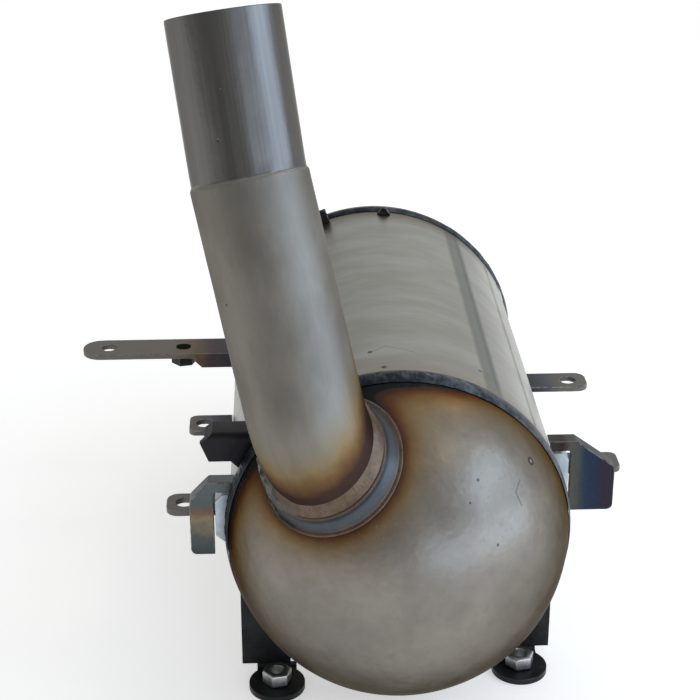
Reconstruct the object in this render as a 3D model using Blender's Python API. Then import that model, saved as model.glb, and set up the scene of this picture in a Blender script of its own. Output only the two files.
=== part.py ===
# Diesel particulate filter canister with a domed outlet end and a bent outlet pipe.
# Units are metres, +Z is up, and the outlet dome faces -Y.
# The pieces are modelled about the canister's own axis: the origin there is on the axis,
# in the plane of the shell's front edge, and +Y runs rearwards along the canister.

import math

import bmesh
import bpy
from mathutils import Matrix, Vector

# Sheet, clearances and smoothness
SHEET = 0.0015            # wall of the shell, dome, cone and pipe
BRACKET_SHEET = 0.003     # thickness of every bracket
SEAT_GAP = 0.0003         # left between two pieces that touch
FACET_GAP = 0.0004        # the same, where a faceted ring lies against a faceted tube
ROUND_SEGMENTS = 56       # facets round the canister
COLLAR_SEGMENTS = 48      # facets round the collar, the flange and their welds
INNER_SEGMENTS = 40       # facets round the filter inside
PIPE_SEGMENTS = 28        # facets round the pipe
HOLE_SEGMENTS = 20        # facets round a drilled hole
TAB_SEGMENTS = 32         # facets round a foot's tab
ARC_STEPS = 6             # facets along an edge that follows the shell
CORNER_STEPS = 4          # facets round a plate's corner
BEND_STEPS = 5            # facets round a fold in a bracket
SHARP_ANGLE = math.radians(35)    # edges sharper than this stay crisp
CUT_MARGIN = 0.002        # how far a cutter runs past what it cuts

# Canister
SHELL_RADIUS = 0.082
SHELL_LENGTH = 0.230
SHELL_CLEARANCE = 0.006   # from the shell's underside to the surface it stands on
LAP_ANGLE = math.radians(32)
LAP_WIDTH = 0.012
LAP_STEP = math.radians(0.6)      # run of the step at each edge of the lap
LAP_SETBACK = 0.006       # the lap is dressed flat this close to the end welds
LAP_RAMP = 0.003

# Front dome and its weld
DOME_OVERHANG = 0.00104   # the dome's rim stands this far proud of the shell
DOME_CENTRE_Y = 0.0048
DOME_RINGS = 12
DOME_INNER_RINGS = 7
BEAD_FRONT_Y = -0.0095
BEAD_REAR_Y = 0.0008
BEAD_HEIGHT = 0.0013
BEAD_STEPS = 5
FILLET_CROWN = 0.0005     # rise of a fillet weld's face

# Rear end
REAR_BEAD_WIDTH = 0.008
REAR_BEAD_HEIGHT = 0.0014
CONE_LENGTH = 0.052
CONE_SKIRT = 0.010
CONE_SHOULDER_RADIUS = 0.012
CONE_THROAT_RADIUS = 0.006
CONE_STEPS = 2
NECK_RADIUS = 0.030
SPIGOT_LENGTH = 0.018
NECK_LENGTH = 0.026
NECK_INSERTION = 0.010
NECK_BEAD_LEG = 0.003
FLANGE_RISE = 0.0112      # from the neck's outside to the flange's rim
FLANGE_WIDTH = 0.012
FLANGE_LIP = 0.003
FLANGE_HUB = 0.003
FLANGE_SLANT = 0.0035

# Filter inside the shell
SUBSTRATE_INSET = 0.026   # from each end of the shell
SUBSTRATE_CHAMFER = 0.001
MAT_THICKNESS = 0.0037
MAT_INSET = 0.004         # the mat stops this far short of each end of the substrate
RING_DEPTH = 0.008
RING_OVERLAP = 0.006      # how far a retaining ring reaches in over the substrate's face

# Outlet: the collar stands square on the dome
OUTLET_CLOCK = math.radians(120.7)    # round the canister's axis, from the right
COLLAR_SEAM_SETBACK = 0.0064  # along the dome, from the seam to the toe of the collar's weld
COLLAR_BASE_WALL = 0.0081
COLLAR_TOP_WALL = 0.0031
COLLAR_RISE = 0.0040          # above the dome's pole
COLLAR_STOCK = 0.006          # turned metal inside the bore line, cut away by the pipe's hole
COLLAR_BEAD_LEG = 0.0020
PIPE_BEAD_BASE_LEG = 0.0026
PIPE_BEAD_LEG = 0.0058

# Outlet pipe: one tube with a tight bend, a straight leg and a reduced end
PIPE_RADIUS = 0.0265
PIPE_SIZING = 0.0009          # taken off the radius at the reduced end
PIPE_ENTRY_SINK = 0.0004      # the bend starts this far under the dome's face
PIPE_ENTRY_BLEND = 0.15       # how far the entry leans from the outlet axis to the leg
PIPE_ENTRY_DEPTH = 0.009      # straight stub below that, through the dome
PIPE_CUT_DEPTH = 0.020        # how far the pipe's hole is carried on inwards
PIPE_BEND_THROAT = 0.0109     # radius left inside the tight bend
PIPE_BEND_STEPS = 10
PIPE_LEG_SIDE = math.radians(13.2)
PIPE_LEG_LEAN = math.radians(19.9)
PIPE_LEG_LENGTH = 0.0969
PIPE_SHOULDER_LENGTH = 0.006
PIPE_END_SIDE = math.radians(8.2)
PIPE_END_LEAN = math.radians(15.8)
PIPE_END_BEND_RADIUS = 0.120
PIPE_END_BEND_STEPS = 3
PIPE_END_LENGTH = 0.0640

# Flat lugs and straps at the sides, each level and welded to the shell
LUG_HEIGHT = 0.005
LOW_LUG_HEIGHT = -0.002
LUG_HOLE = 0.0045
LEFT_LUG_HOLE_INSET = 0.0080      # hole centre from the lug's tip
RIGHT_STRAP_HOLE_INSET = 0.0105
ARM_PROJECTION = 0.090        # from the shell to the tip
ARM_WIDTH = 0.022
ARM_SETBACK = 0.024           # middle of the arm from the shell's rear edge
ARM_TIP_FLAT = 0.001
ARM_HOLE = 0.0045
ARM_HOLE_INSET = 0.015
ARM_NUT_DISTANCE = 0.031      # from the shell
ARM_FLANGE_DEPTH = 0.009
ARM_FLANGE_LENGTH = 0.024
ARM_FLANGE_CHAMFER = 0.004
LEFT_LUG_PROJECTION = 0.023
LEFT_LUG_WIDTH = 0.019
LEFT_LUG_CORNER = 0.004
LEFT_LUG_Y = 0.104
RIGHT_STRAP_PROJECTION = 0.035
RIGHT_STRAP_WIDTH = 0.019
RIGHT_STRAP_CORNER = 0.006
RIGHT_STRAP_Y = 0.150
LEFT_SMALL_LUG_PROJECTION = 0.0315
LEFT_SMALL_LUG_CORNER = 0.006
RIGHT_SMALL_LUG_PROJECTION = 0.038
RIGHT_SMALL_LUG_CORNER = 0.004
SMALL_LUG_WIDTH = 0.018
SMALL_LUG_HOLE_INSET = 0.009
SMALL_LUG_CLEARANCE = 0.0085  # behind the block bracket

# Block brackets: a folded plate over a pad that sits on the shell
BLOCK_TOP = 0.0240
BLOCK_BOTTOM = -0.0155
BLOCK_DEPTH = 0.0085
BLOCK_TOP_CORNER = 0.002
BLOCK_SIDE_CORNER = 0.005
BLOCK_FOOT_CORNER = 0.003
LEFT_BLOCK_PROJECTION = 0.0187
RIGHT_BLOCK_PROJECTION = 0.0310
LEFT_BLOCK_STANDOFF = 0.0070
RIGHT_BLOCK_STANDOFF = 0.0080
LEFT_BLOCK_Y = 0.004
RIGHT_BLOCK_Y = 0.040
LEFT_CHAMFER = (0.0095, 0.0100)       # run across and drop of the cut corner
RIGHT_CHAMFER = (0.0205, 0.0150)
PAD_CLEARANCE = 0.0007
PAD_DEPTH = 0.0085
PAD_BOTTOM = -0.0110
PAD_TAPER = 0.006
PAD_CHAMFER = 0.0035

# Upper left angle bracket
ANGLE_PROJECTION = 0.0125
ANGLE_BEVEL = 0.0040          # slant of the end
ANGLE_CORNER = (0.0060, 0.0045)       # run across and drop of the corner cut off above it
ANGLE_TOP = 0.0505
ANGLE_HEIGHT = 0.0145
ANGLE_Y = 0.0030
ANGLE_DEPTH = 0.0140
ANGLE_FLARE = 0.0050
ANGLE_FLARE_SETBACK = 0.0145  # where the flared root starts, from the tip
ANGLE_INNER_RADIUS = 0.001

# Feet: an upright web, bent into a round tab that carries a nut
FOOT_TAB_RADIUS = 0.014
FOOT_HOLE_RADIUS = 0.0045
FOOT_WEB_SETBACK = 0.013      # web's front face behind the centre of the tab
FOOT_BEND_RADIUS = 0.002
FOOT_NECK_WIDTH = 0.020
LEFT_WEB_INSET = 0.0045       # outer edge of the web, in from the shell's side
LEFT_WEB_WIDTH = 0.0245
LEFT_FOOT_OFFSET = 0.00525    # middle of the tab, inwards from the middle of the web
LEFT_FOOT_Y = -0.0042
RIGHT_WEB_INSET = 0.0020
RIGHT_WEB_WIDTH = 0.0270
RIGHT_FOOT_OFFSET = 0.0033
RIGHT_FOOT_Y = 0.0054

# Hexagon nuts, M8
NUT_SIDES = 6
NUT_ACROSS_FLATS = 0.013
NUT_HEIGHT = 0.0068
NUT_BORE_RADIUS = 0.0034
NUT_CHAMFER = 0.0008
NUT_CHAMFER_HEIGHT = 0.0005
NUT_TURN = math.radians(12)

# Small tabs on the rear rim
REAR_TAB_SETBACK = 0.0075     # from the shell's rear edge
REAR_TAB_WIDTH = 0.0070
REAR_TAB_RISE = 0.0075
REAR_TAB_X = -0.0290
REAR_PIP_X = 0.0060
REAR_PIP_RISE = 0.0038
REAR_PIP_WIDTH = 0.0080
REAR_PIP_TIP = 0.0020

# Derived places
AXIS_HEIGHT = SHELL_RADIUS + SHELL_CLEARANCE
DOME_RADIUS = math.hypot(SHELL_RADIUS + DOME_OVERHANG, DOME_CENTRE_Y + SEAT_GAP)
DOME_CENTRE = Vector((0.0, DOME_CENTRE_Y, 0.0))
CONE_FRONT_Y = SHELL_LENGTH + SEAT_GAP
CONE_END_Y = CONE_FRONT_Y + CONE_LENGTH
SPIGOT_END_Y = CONE_END_Y + SPIGOT_LENGTH
NECK_OUTER_RADIUS = NECK_RADIUS + SEAT_GAP + SHEET
NECK_FRONT_Y = SPIGOT_END_Y - NECK_INSERTION
NECK_END_Y = NECK_FRONT_Y + NECK_LENGTH
FLANGE_FRONT_Y = NECK_END_Y - FLANGE_WIDTH
FLANGE_RADIUS = NECK_OUTER_RADIUS + FLANGE_RISE
SUBSTRATE_RADIUS = SHELL_RADIUS - SHEET - 2 * SEAT_GAP - MAT_THICKNESS
SUBSTRATE_REAR_Y = SHELL_LENGTH - SUBSTRATE_INSET
COLLAR_BASE_RADIUS = PIPE_RADIUS + COLLAR_BASE_WALL
COLLAR_TOP_RADIUS = PIPE_RADIUS + COLLAR_TOP_WALL
COLLAR_TOE_RADIUS = COLLAR_BASE_RADIUS + FACET_GAP + COLLAR_BEAD_LEG
OUTLET_TILT = (math.acos(DOME_CENTRE_Y / DOME_RADIUS) - math.asin(COLLAR_TOE_RADIUS / DOME_RADIUS)
               - COLLAR_SEAM_SETBACK / DOME_RADIUS)
OUTLET_AXIS = Vector((
    math.cos(OUTLET_CLOCK) * math.sin(OUTLET_TILT),
    -math.cos(OUTLET_TILT),
    math.sin(OUTLET_CLOCK) * math.sin(OUTLET_TILT),
))
COLLAR_TOP_REACH = DOME_RADIUS + COLLAR_RISE
PIPE_END_RADIUS = PIPE_RADIUS - PIPE_SIZING
PIPE_BEND_RADIUS = PIPE_RADIUS + PIPE_BEND_THROAT
ARM_Y = SHELL_LENGTH - ARM_SETBACK
ARM_REACH = SHELL_RADIUS + ARM_PROJECTION
ARM_NUT_X = SHELL_RADIUS + ARM_NUT_DISTANCE
LEFT_LUG_REACH = SHELL_RADIUS + LEFT_LUG_PROJECTION
RIGHT_STRAP_REACH = SHELL_RADIUS + RIGHT_STRAP_PROJECTION
LEFT_SMALL_LUG_REACH = SHELL_RADIUS + LEFT_SMALL_LUG_PROJECTION
RIGHT_SMALL_LUG_REACH = SHELL_RADIUS + RIGHT_SMALL_LUG_PROJECTION
SMALL_LUG_OFFSET = BLOCK_DEPTH + SMALL_LUG_CLEARANCE + SMALL_LUG_WIDTH / 2
LEFT_BLOCK_REACH = SHELL_RADIUS + LEFT_BLOCK_PROJECTION
RIGHT_BLOCK_REACH = SHELL_RADIUS + RIGHT_BLOCK_PROJECTION
LEFT_BLOCK_INNER = SHELL_RADIUS + LEFT_BLOCK_STANDOFF
RIGHT_BLOCK_INNER = SHELL_RADIUS + RIGHT_BLOCK_STANDOFF
ANGLE_REACH = SHELL_RADIUS + ANGLE_PROJECTION
REAR_TAB_Y = SHELL_LENGTH - REAR_TAB_SETBACK

# Materials: base colour, metallic, roughness
FINISHES = {
    "shell_steel": ((0.42, 0.42, 0.37), 1.0, 0.38),
    "dome_steel": ((0.36, 0.31, 0.26), 1.0, 0.34),
    "pipe_steel": ((0.38, 0.36, 0.32), 1.0, 0.36),
    "weld_metal": ((0.10, 0.12, 0.14), 0.8, 0.50),
    "straw_metal": ((0.42, 0.30, 0.20), 0.9, 0.40),
    "dark_bracket": ((0.03, 0.03, 0.035), 0.6, 0.50),
    "tinted_bracket": ((0.16, 0.17, 0.15), 0.8, 0.42),
    "grey_bracket": ((0.24, 0.22, 0.20), 0.9, 0.48),
    "zinc_nut": ((0.60, 0.62, 0.62), 1.0, 0.30),
    "ceramic": ((0.45, 0.42, 0.38), 0.0, 0.90),
    "mat_fibre": ((0.75, 0.73, 0.68), 0.0, 0.95),
}


def clear_scene():
    for old in list(bpy.data.objects):
        bpy.data.objects.remove(old, do_unlink=True)


def make_material(name):
    colour, metallic, roughness = FINISHES[name]
    material = bpy.data.materials.get(name) or bpy.data.materials.new(name)
    material.use_nodes = True
    shader = material.node_tree.nodes["Principled BSDF"]
    shader.inputs["Base Color"].default_value = (*colour, 1.0)
    shader.inputs["Metallic"].default_value = metallic
    shader.inputs["Roughness"].default_value = roughness
    return material


def make_frame():
    """An empty on the canister's axis, placed so that the world origin lies under the middle."""
    frame = bpy.data.objects.new("canister_axis", None)
    right_reach = max(RIGHT_SMALL_LUG_REACH, RIGHT_STRAP_REACH, RIGHT_BLOCK_REACH)
    middle_x = (right_reach - ARM_REACH) / 2
    middle_y = (DOME_CENTRE_Y - DOME_RADIUS + NECK_END_Y) / 2
    frame.location = (-middle_x, -middle_y, AXIS_HEIGHT)
    bpy.context.scene.collection.objects.link(frame)
    return frame


def add_object(name, mesh_data, frame, finish=None, matrix=None):
    """Turn a bmesh into a named object under the canister's frame."""
    bmesh.ops.remove_doubles(mesh_data, verts=mesh_data.verts, dist=1e-6)
    bmesh.ops.recalc_face_normals(mesh_data, faces=mesh_data.faces)
    mesh = bpy.data.meshes.new(name)
    mesh_data.to_mesh(mesh)
    mesh_data.free()
    thing = bpy.data.objects.new(name, mesh)
    bpy.context.scene.collection.objects.link(thing)
    thing.parent = frame
    if matrix is not None:
        thing.matrix_local = matrix
    if finish is None:
        thing.hide_render = True
        thing.display_type = "WIRE"
    else:
        mesh.materials.append(make_material(finish))
        mesh.shade_smooth()
        mesh.set_sharp_from_angle(angle=SHARP_ANGLE)
    return thing


def boolean(thing, cutter, operation="DIFFERENCE"):
    modifier = thing.modifiers.new(operation.lower() + "_" + cutter.name, "BOOLEAN")
    modifier.operation = operation
    modifier.object = cutter


def turn_about(profile, segments):
    """A solid of revolution about local Z from a closed outline of (radius, height) points."""
    mesh_data = bmesh.new()
    rings = []
    for radius, height in profile:
        if radius == 0.0:
            rings.append([mesh_data.verts.new((0.0, 0.0, height))])
            continue
        angles = [2 * math.pi * k / segments for k in range(segments)]
        rings.append([
            mesh_data.verts.new((radius * math.cos(a), radius * math.sin(a), height)) for a in angles
        ])
    for lower, upper in zip(rings, rings[1:] + rings[:1]):
        skin(mesh_data, lower, upper)
    return mesh_data


def skin(mesh_data, ring_a, ring_b):
    """Faces between two rings; a ring of one point closes to a pole."""
    count = max(len(ring_a), len(ring_b))
    if len(ring_a) == 1 and len(ring_b) == 1:
        return
    for k in range(count):
        nxt = (k + 1) % count
        corners = [ring_a[k % len(ring_a)], ring_a[nxt % len(ring_a)],
                   ring_b[nxt % len(ring_b)], ring_b[k % len(ring_b)]]
        unique = list(dict.fromkeys(corners))
        mesh_data.faces.new(unique)


def extrude_outline(points, depth):
    """A closed plate from an outline in local XY, standing from z = 0 to z = depth."""
    mesh_data = bmesh.new()
    face = mesh_data.faces.new([mesh_data.verts.new((x, y, 0.0)) for x, y in points])
    grown = bmesh.ops.extrude_face_region(mesh_data, geom=[face])
    moved = [item for item in grown["geom"] if isinstance(item, bmesh.types.BMVert)]
    bmesh.ops.translate(mesh_data, verts=moved, vec=(0.0, 0.0, depth))
    return mesh_data


def arc_points(centre, radius, start, end, steps):
    """Points on an arc in the plane, from the start angle to the end angle."""
    return [
        (centre[0] + radius * math.cos(start + (end - start) * k / steps),
         centre[1] + radius * math.sin(start + (end - start) * k / steps))
        for k in range(steps + 1)
    ]


def round_corners(points, radii, steps=CORNER_STEPS):
    """The same outline with each corner replaced by an arc of its own radius."""
    outline = []
    count = len(points)
    for k, (point, radius) in enumerate(zip(points, radii)):
        here = Vector(point)
        before = (Vector(points[k - 1]) - here)
        after = (Vector(points[(k + 1) % count]) - here)
        if radius == 0.0:
            outline.append(tuple(here))
            continue
        before.normalize()
        after.normalize()
        half = before.angle(after) / 2
        reach = radius / math.tan(half)
        centre = here + (before + after).normalized() * (radius / math.sin(half))
        first = here + before * reach - centre
        last = here + after * reach - centre
        turn = first.angle_signed(last)
        for step in range(steps + 1):
            spun = Matrix.Rotation(-turn * step / steps, 2) @ first
            outline.append(tuple(centre + spun))
    return outline


def axis_matrix(origin, direction, across=Vector((0.0, 0.0, 1.0))):
    """Local Z along the direction, local X as square to it as the across vector allows."""
    z_axis = direction.normalized()
    y_axis = z_axis.cross(across).normalized()
    x_axis = y_axis.cross(z_axis)
    columns = Matrix((x_axis, y_axis, z_axis)).transposed()
    return Matrix.Translation(origin) @ columns.to_4x4()


# Local Z points rearwards along the canister, local X to the right, local Y down.
ALONG_CANISTER = Matrix(((1, 0, 0, 0), (0, 0, 1, 0), (0, -1, 0, 0), (0, 0, 0, 1)))


def facing_front(y):
    """A frame at the given depth whose local X is right, local Y is up and local Z is forwards."""
    return Matrix(((1, 0, 0, 0), (0, 0, -1, y), (0, 1, 0, 0), (0, 0, 0, 1)))


def sphere_height(radius, sphere):
    return math.sqrt(sphere * sphere - radius * radius)


def shell_x(z):
    """Distance from the axis to the shell's outside at a given height, with the seat gap."""
    return sphere_height(z, SHELL_RADIUS + SEAT_GAP)


def clear_of_shell(low, high):
    """Distance from the axis at which an upright edge between two heights clears the shell."""
    return shell_x(max(low, -high, 0.0))


def crowned(toe, top, corner):
    """Middle of a fillet weld's face: halfway from toe to top, raised away from its corner."""
    middle = (toe + top) / 2
    return middle + (middle - corner).normalized() * FILLET_CROWN


# Canister


def canister_shell(frame):
    """Rolled tube whose sheet overlaps itself in a lap seam, dressed flat at both ends."""
    lap_half = LAP_WIDTH / 2 / SHELL_RADIUS
    plain = [2 * math.pi * k / ROUND_SEGMENTS for k in range(ROUND_SEGMENTS)]
    plain = [a for a in plain if abs(a - LAP_ANGLE) > lap_half + 2 * LAP_STEP]
    edges = [LAP_ANGLE - lap_half - LAP_STEP, LAP_ANGLE - lap_half,
             LAP_ANGLE, LAP_ANGLE + lap_half, LAP_ANGLE + lap_half + LAP_STEP]
    angles = sorted(plain + edges)
    raised = set(edges[1:4])
    flat_end = LAP_SETBACK + LAP_RAMP
    stations = [(0.0, 0.0), (LAP_SETBACK, 0.0), (flat_end, 1.0),
                (SHELL_LENGTH - flat_end, 1.0), (SHELL_LENGTH - LAP_SETBACK, 0.0),
                (SHELL_LENGTH, 0.0)]
    mesh_data = bmesh.new()
    rings = []
    for depth, lift in stations:
        ring = []
        for angle in angles:
            radius = SHELL_RADIUS + (SHEET * lift if angle in raised else 0.0)
            ring.append(mesh_data.verts.new(
                (radius * math.cos(angle), depth, radius * math.sin(angle))))
        rings.append(ring)
    inner = SHELL_RADIUS - SHEET
    for depth in (SHELL_LENGTH, 0.0):
        rings.append([
            mesh_data.verts.new((inner * math.cos(a), depth, inner * math.sin(a))) for a in angles
        ])
    for one, two in zip(rings, rings[1:] + rings[:1]):
        skin(mesh_data, one, two)
    return add_object("canister_shell", mesh_data, frame, "shell_steel")


def front_dome(frame, pipe_hole):
    """Deep-drawn end: part of a hollow sphere, butted against the shell's front edge."""
    rim_y = -SEAT_GAP
    profile = []
    skins = ((DOME_RADIUS, DOME_RINGS, False), (DOME_RADIUS - SHEET, DOME_INNER_RINGS, True))
    for radius, rings, backwards in skins:
        rim_angle = math.acos((DOME_CENTRE_Y - rim_y) / radius)
        angles = [rim_angle * k / rings for k in range(rings + 1)]
        line = [(radius * math.sin(a), DOME_CENTRE_Y - radius * math.cos(a)) for a in angles]
        line[0] = (0.0, line[0][1])
        profile += list(reversed(line)) if backwards else line
    mesh_data = turn_about(profile, ROUND_SEGMENTS)
    dome = add_object("front_dome", mesh_data, frame, "dome_steel", ALONG_CANISTER)
    boolean(dome, pipe_hole)
    return dome


def seam_bead(name, inner_points, outer_from, outer_to, height, frame):
    """A weld ring: the inner side follows what it is laid on, the outer side is crowned."""
    crown = []
    for k in range(1, BEAD_STEPS):
        share = k / BEAD_STEPS
        radius = outer_from[0] + (outer_to[0] - outer_from[0]) * share
        depth = outer_from[1] + (outer_to[1] - outer_from[1]) * share
        crown.append((radius + height * math.sin(math.pi * share), depth))
    profile = list(inner_points) + crown
    mesh_data = turn_about(profile, ROUND_SEGMENTS)
    return add_object(name, mesh_data, frame, "weld_metal", ALONG_CANISTER)


def collar_clearance(frame):
    """Cutter: the room that the collar and its weld take out of the seam bead beside them."""
    radius = COLLAR_TOE_RADIUS + SEAT_GAP
    profile = [(0.0, DOME_RADIUS / 2), (radius, DOME_RADIUS / 2),
               (radius, COLLAR_TOP_REACH), (0.0, COLLAR_TOP_REACH)]
    return add_object("collar_clearance", turn_about(profile, ROUND_SEGMENTS), frame, None,
                      axis_matrix(DOME_CENTRE, OUTLET_AXIS))


def front_weld_bead(frame):
    """Weld over the joint of dome and shell, broken where the collar's weld runs into it."""
    def over_dome(y):
        return sphere_height(DOME_CENTRE_Y - y, DOME_RADIUS) + SEAT_GAP
    rim_y = -SEAT_GAP / 2
    inner = [(over_dome(BEAD_REAR_Y), BEAD_REAR_Y), (over_dome(rim_y), rim_y),
             (over_dome(BEAD_FRONT_Y / 2), BEAD_FRONT_Y / 2), (over_dome(BEAD_FRONT_Y), BEAD_FRONT_Y)]
    bead = seam_bead("front_weld_bead", inner, inner[-1], inner[0], BEAD_HEIGHT, frame)
    boolean(bead, collar_clearance(frame))
    return bead


def rear_weld_bead(frame):
    """Weld over the joint of shell and rear cone."""
    radius = SHELL_RADIUS + SEAT_GAP
    front = SHELL_LENGTH - REAR_BEAD_WIDTH / 2
    rear = SHELL_LENGTH + REAR_BEAD_WIDTH / 2
    inner = [(radius, rear), (radius, front)]
    return seam_bead("rear_weld_bead", inner, inner[-1], inner[0], REAR_BEAD_HEIGHT, frame)


def rear_cone(frame):
    """Spun cone that reduces the canister to the inlet spigot, one sheet all the way."""
    skirt_end = CONE_FRONT_Y + CONE_SKIRT
    slant = math.atan2(SHELL_RADIUS - NECK_RADIUS, CONE_END_Y - skirt_end)
    shift = SHEET * math.tan(slant / 2)
    corners = [
        (SHELL_RADIUS, CONE_FRONT_Y), (SHELL_RADIUS, skirt_end),
        (NECK_RADIUS, CONE_END_Y), (NECK_RADIUS, SPIGOT_END_Y),
        (NECK_RADIUS - SHEET, SPIGOT_END_Y), (NECK_RADIUS - SHEET, CONE_END_Y - shift),
        (SHELL_RADIUS - SHEET, skirt_end - shift), (SHELL_RADIUS - SHEET, CONE_FRONT_Y),
    ]
    radii = [0.0, CONE_SHOULDER_RADIUS, CONE_THROAT_RADIUS, 0.0,
             0.0, CONE_THROAT_RADIUS + SHEET, CONE_SHOULDER_RADIUS - SHEET, 0.0]
    mesh_data = turn_about(round_corners(corners, radii, CONE_STEPS), ROUND_SEGMENTS)
    return add_object("rear_cone", mesh_data, frame, "shell_steel", ALONG_CANISTER)


def inlet_neck(frame):
    """Short tube slipped over the spigot."""
    inside = NECK_RADIUS + SEAT_GAP
    profile = [(NECK_OUTER_RADIUS, NECK_FRONT_Y), (NECK_OUTER_RADIUS, NECK_END_Y),
               (inside, NECK_END_Y), (inside, NECK_FRONT_Y)]
    mesh_data = turn_about(profile, COLLAR_SEGMENTS)
    return add_object("inlet_neck", mesh_data, frame, "pipe_steel", ALONG_CANISTER)


def inlet_weld_bead(frame):
    """Fillet weld in the corner between spigot and neck."""
    corner = Vector((NECK_RADIUS + SEAT_GAP, NECK_FRONT_Y - SEAT_GAP))
    toe = corner - Vector((0.0, NECK_BEAD_LEG))
    top = corner + Vector((SHEET, 0.0))
    profile = [tuple(point) for point in (corner, toe, crowned(toe, top, corner), top)]
    mesh_data = turn_about(profile, COLLAR_SEGMENTS)
    return add_object("inlet_weld_bead", mesh_data, frame, "weld_metal", ALONG_CANISTER)


def inlet_flange(frame):
    """Turned clamp flange on the end of the neck, with the slanted back of a clamp joint."""
    bore = NECK_OUTER_RADIUS + SEAT_GAP
    profile = [
        (bore, FLANGE_FRONT_Y), (bore + FLANGE_HUB, FLANGE_FRONT_Y),
        (bore + FLANGE_HUB, NECK_END_Y - FLANGE_LIP - FLANGE_SLANT),
        (FLANGE_RADIUS, NECK_END_Y - FLANGE_LIP), (FLANGE_RADIUS, NECK_END_Y), (bore, NECK_END_Y),
    ]
    mesh_data = turn_about(profile, COLLAR_SEGMENTS)
    return add_object("inlet_flange", mesh_data, frame, "pipe_steel", ALONG_CANISTER)


# Filter inside the shell


def tube(name, outer, inner, front, rear, frame, finish):
    profile = [(outer, front), (outer, rear), (inner, rear), (inner, front)]
    return add_object(name, turn_about(profile, INNER_SEGMENTS), frame, finish, ALONG_CANISTER)


def filter_substrate(frame):
    """Ceramic honeycomb block; its channels are too fine to model and it stays whole."""
    edge = SUBSTRATE_RADIUS - SUBSTRATE_CHAMFER
    profile = [
        (0.0, SUBSTRATE_INSET), (edge, SUBSTRATE_INSET),
        (SUBSTRATE_RADIUS, SUBSTRATE_INSET + SUBSTRATE_CHAMFER),
        (SUBSTRATE_RADIUS, SUBSTRATE_REAR_Y - SUBSTRATE_CHAMFER),
        (edge, SUBSTRATE_REAR_Y), (0.0, SUBSTRATE_REAR_Y),
    ]
    mesh_data = turn_about(profile, INNER_SEGMENTS)
    return add_object("filter_substrate", mesh_data, frame, "ceramic", ALONG_CANISTER)


def support_mat(frame):
    """Fibre mat wrapped round the substrate, squeezed between it and the shell."""
    return tube("support_mat", SHELL_RADIUS - SHEET - SEAT_GAP, SUBSTRATE_RADIUS + SEAT_GAP,
                SUBSTRATE_INSET + MAT_INSET, SUBSTRATE_REAR_Y - MAT_INSET, frame, "mat_fibre")


def retaining_ring(name, face_y, outward, frame):
    """L-section ring: a skirt against the shell and a lip over the substrate's face."""
    outer = SHELL_RADIUS - SHEET - SEAT_GAP
    lip = SUBSTRATE_RADIUS - RING_OVERLAP
    skirt = outer - SHEET
    seat = face_y + outward * SEAT_GAP
    inside = face_y - outward * (MAT_INSET - SEAT_GAP)
    back = seat + outward * SHEET
    end = seat + outward * RING_DEPTH
    profile = [(lip, seat), (lip, back), (skirt, back), (skirt, end), (outer, end), (outer, inside),
               (skirt, inside), (skirt, seat)]
    return add_object(name, turn_about(profile, INNER_SEGMENTS), frame, "shell_steel", ALONG_CANISTER)


# Outlet collar and pipe


def leaning(side, lean):
    """Unit direction that rises while it goes left by the side angle and back by the lean."""
    return Vector((-math.tan(side), math.tan(lean), 1.0)).normalized()


def bend(points, start, heading, target, radius, steps):
    """Add an arc that turns the path from its heading to the target direction."""
    angle = heading.angle(target)
    across = (target - heading * heading.dot(target)).normalized()
    for k in range(1, steps + 1):
        turned = angle * k / steps
        points.append(start + radius * (math.sin(turned) * heading + (1 - math.cos(turned)) * across))
    return points[-1]


def pipe_route():
    """Points along the pipe's axis, and how many of them have the full radius."""
    leg = leaning(PIPE_LEG_SIDE, PIPE_LEG_LEAN)
    end = leaning(PIPE_END_SIDE, PIPE_END_LEAN)
    entry = OUTLET_AXIS.lerp(leg, PIPE_ENTRY_BLEND).normalized()
    start = DOME_CENTRE + OUTLET_AXIS * (DOME_RADIUS - PIPE_ENTRY_SINK)
    points = [start - entry * PIPE_ENTRY_DEPTH, start]
    corner = bend(points, start, entry, leg, PIPE_BEND_RADIUS, PIPE_BEND_STEPS)
    top = corner + leg * PIPE_LEG_LENGTH
    points += [corner.lerp(top, 0.5), top - leg * PIPE_SHOULDER_LENGTH]
    large = len(points)
    points.append(top)
    bend(points, top, leg, end, PIPE_END_BEND_RADIUS, PIPE_END_BEND_STEPS)
    points.append(points[-1] + end * PIPE_END_LENGTH)
    return points, large


def route_frames(points):
    """A pair of unit vectors across the route at each point, carried along without twist."""
    frames = []
    across = Vector((1.0, 0.0, 0.0))
    for k, point in enumerate(points):
        ahead = points[min(k + 1, len(points) - 1)] - points[max(k - 1, 0)]
        heading = ahead.normalized()
        across = (across - heading * across.dot(heading)).normalized()
        frames.append((across.copy(), heading.cross(across)))
    return frames


def add_ring(mesh_data, point, pair, radius):
    ring = []
    for k in range(PIPE_SEGMENTS):
        angle = 2 * math.pi * k / PIPE_SEGMENTS
        ring.append(mesh_data.verts.new(
            point + radius * (math.cos(angle) * pair[0] + math.sin(angle) * pair[1])))
    return ring


def outlet_pipe(frame):
    """One tube: bent at the dome, straight leg, shoulder, and an end sized down to fit a sleeve."""
    points, large = pipe_route()
    radii = [PIPE_RADIUS] * large + [PIPE_END_RADIUS] * (len(points) - large)
    stations = list(zip(points, route_frames(points), radii))
    mesh_data = bmesh.new()
    rings = [add_ring(mesh_data, point, pair, radius) for point, pair, radius in stations]
    rings += [add_ring(mesh_data, point, pair, radius - SHEET)
              for point, pair, radius in reversed(stations)]
    for one, two in zip(rings, rings[1:] + rings[:1]):
        skin(mesh_data, one, two)
    return add_object("outlet_pipe", mesh_data, frame, "pipe_steel")


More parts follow.
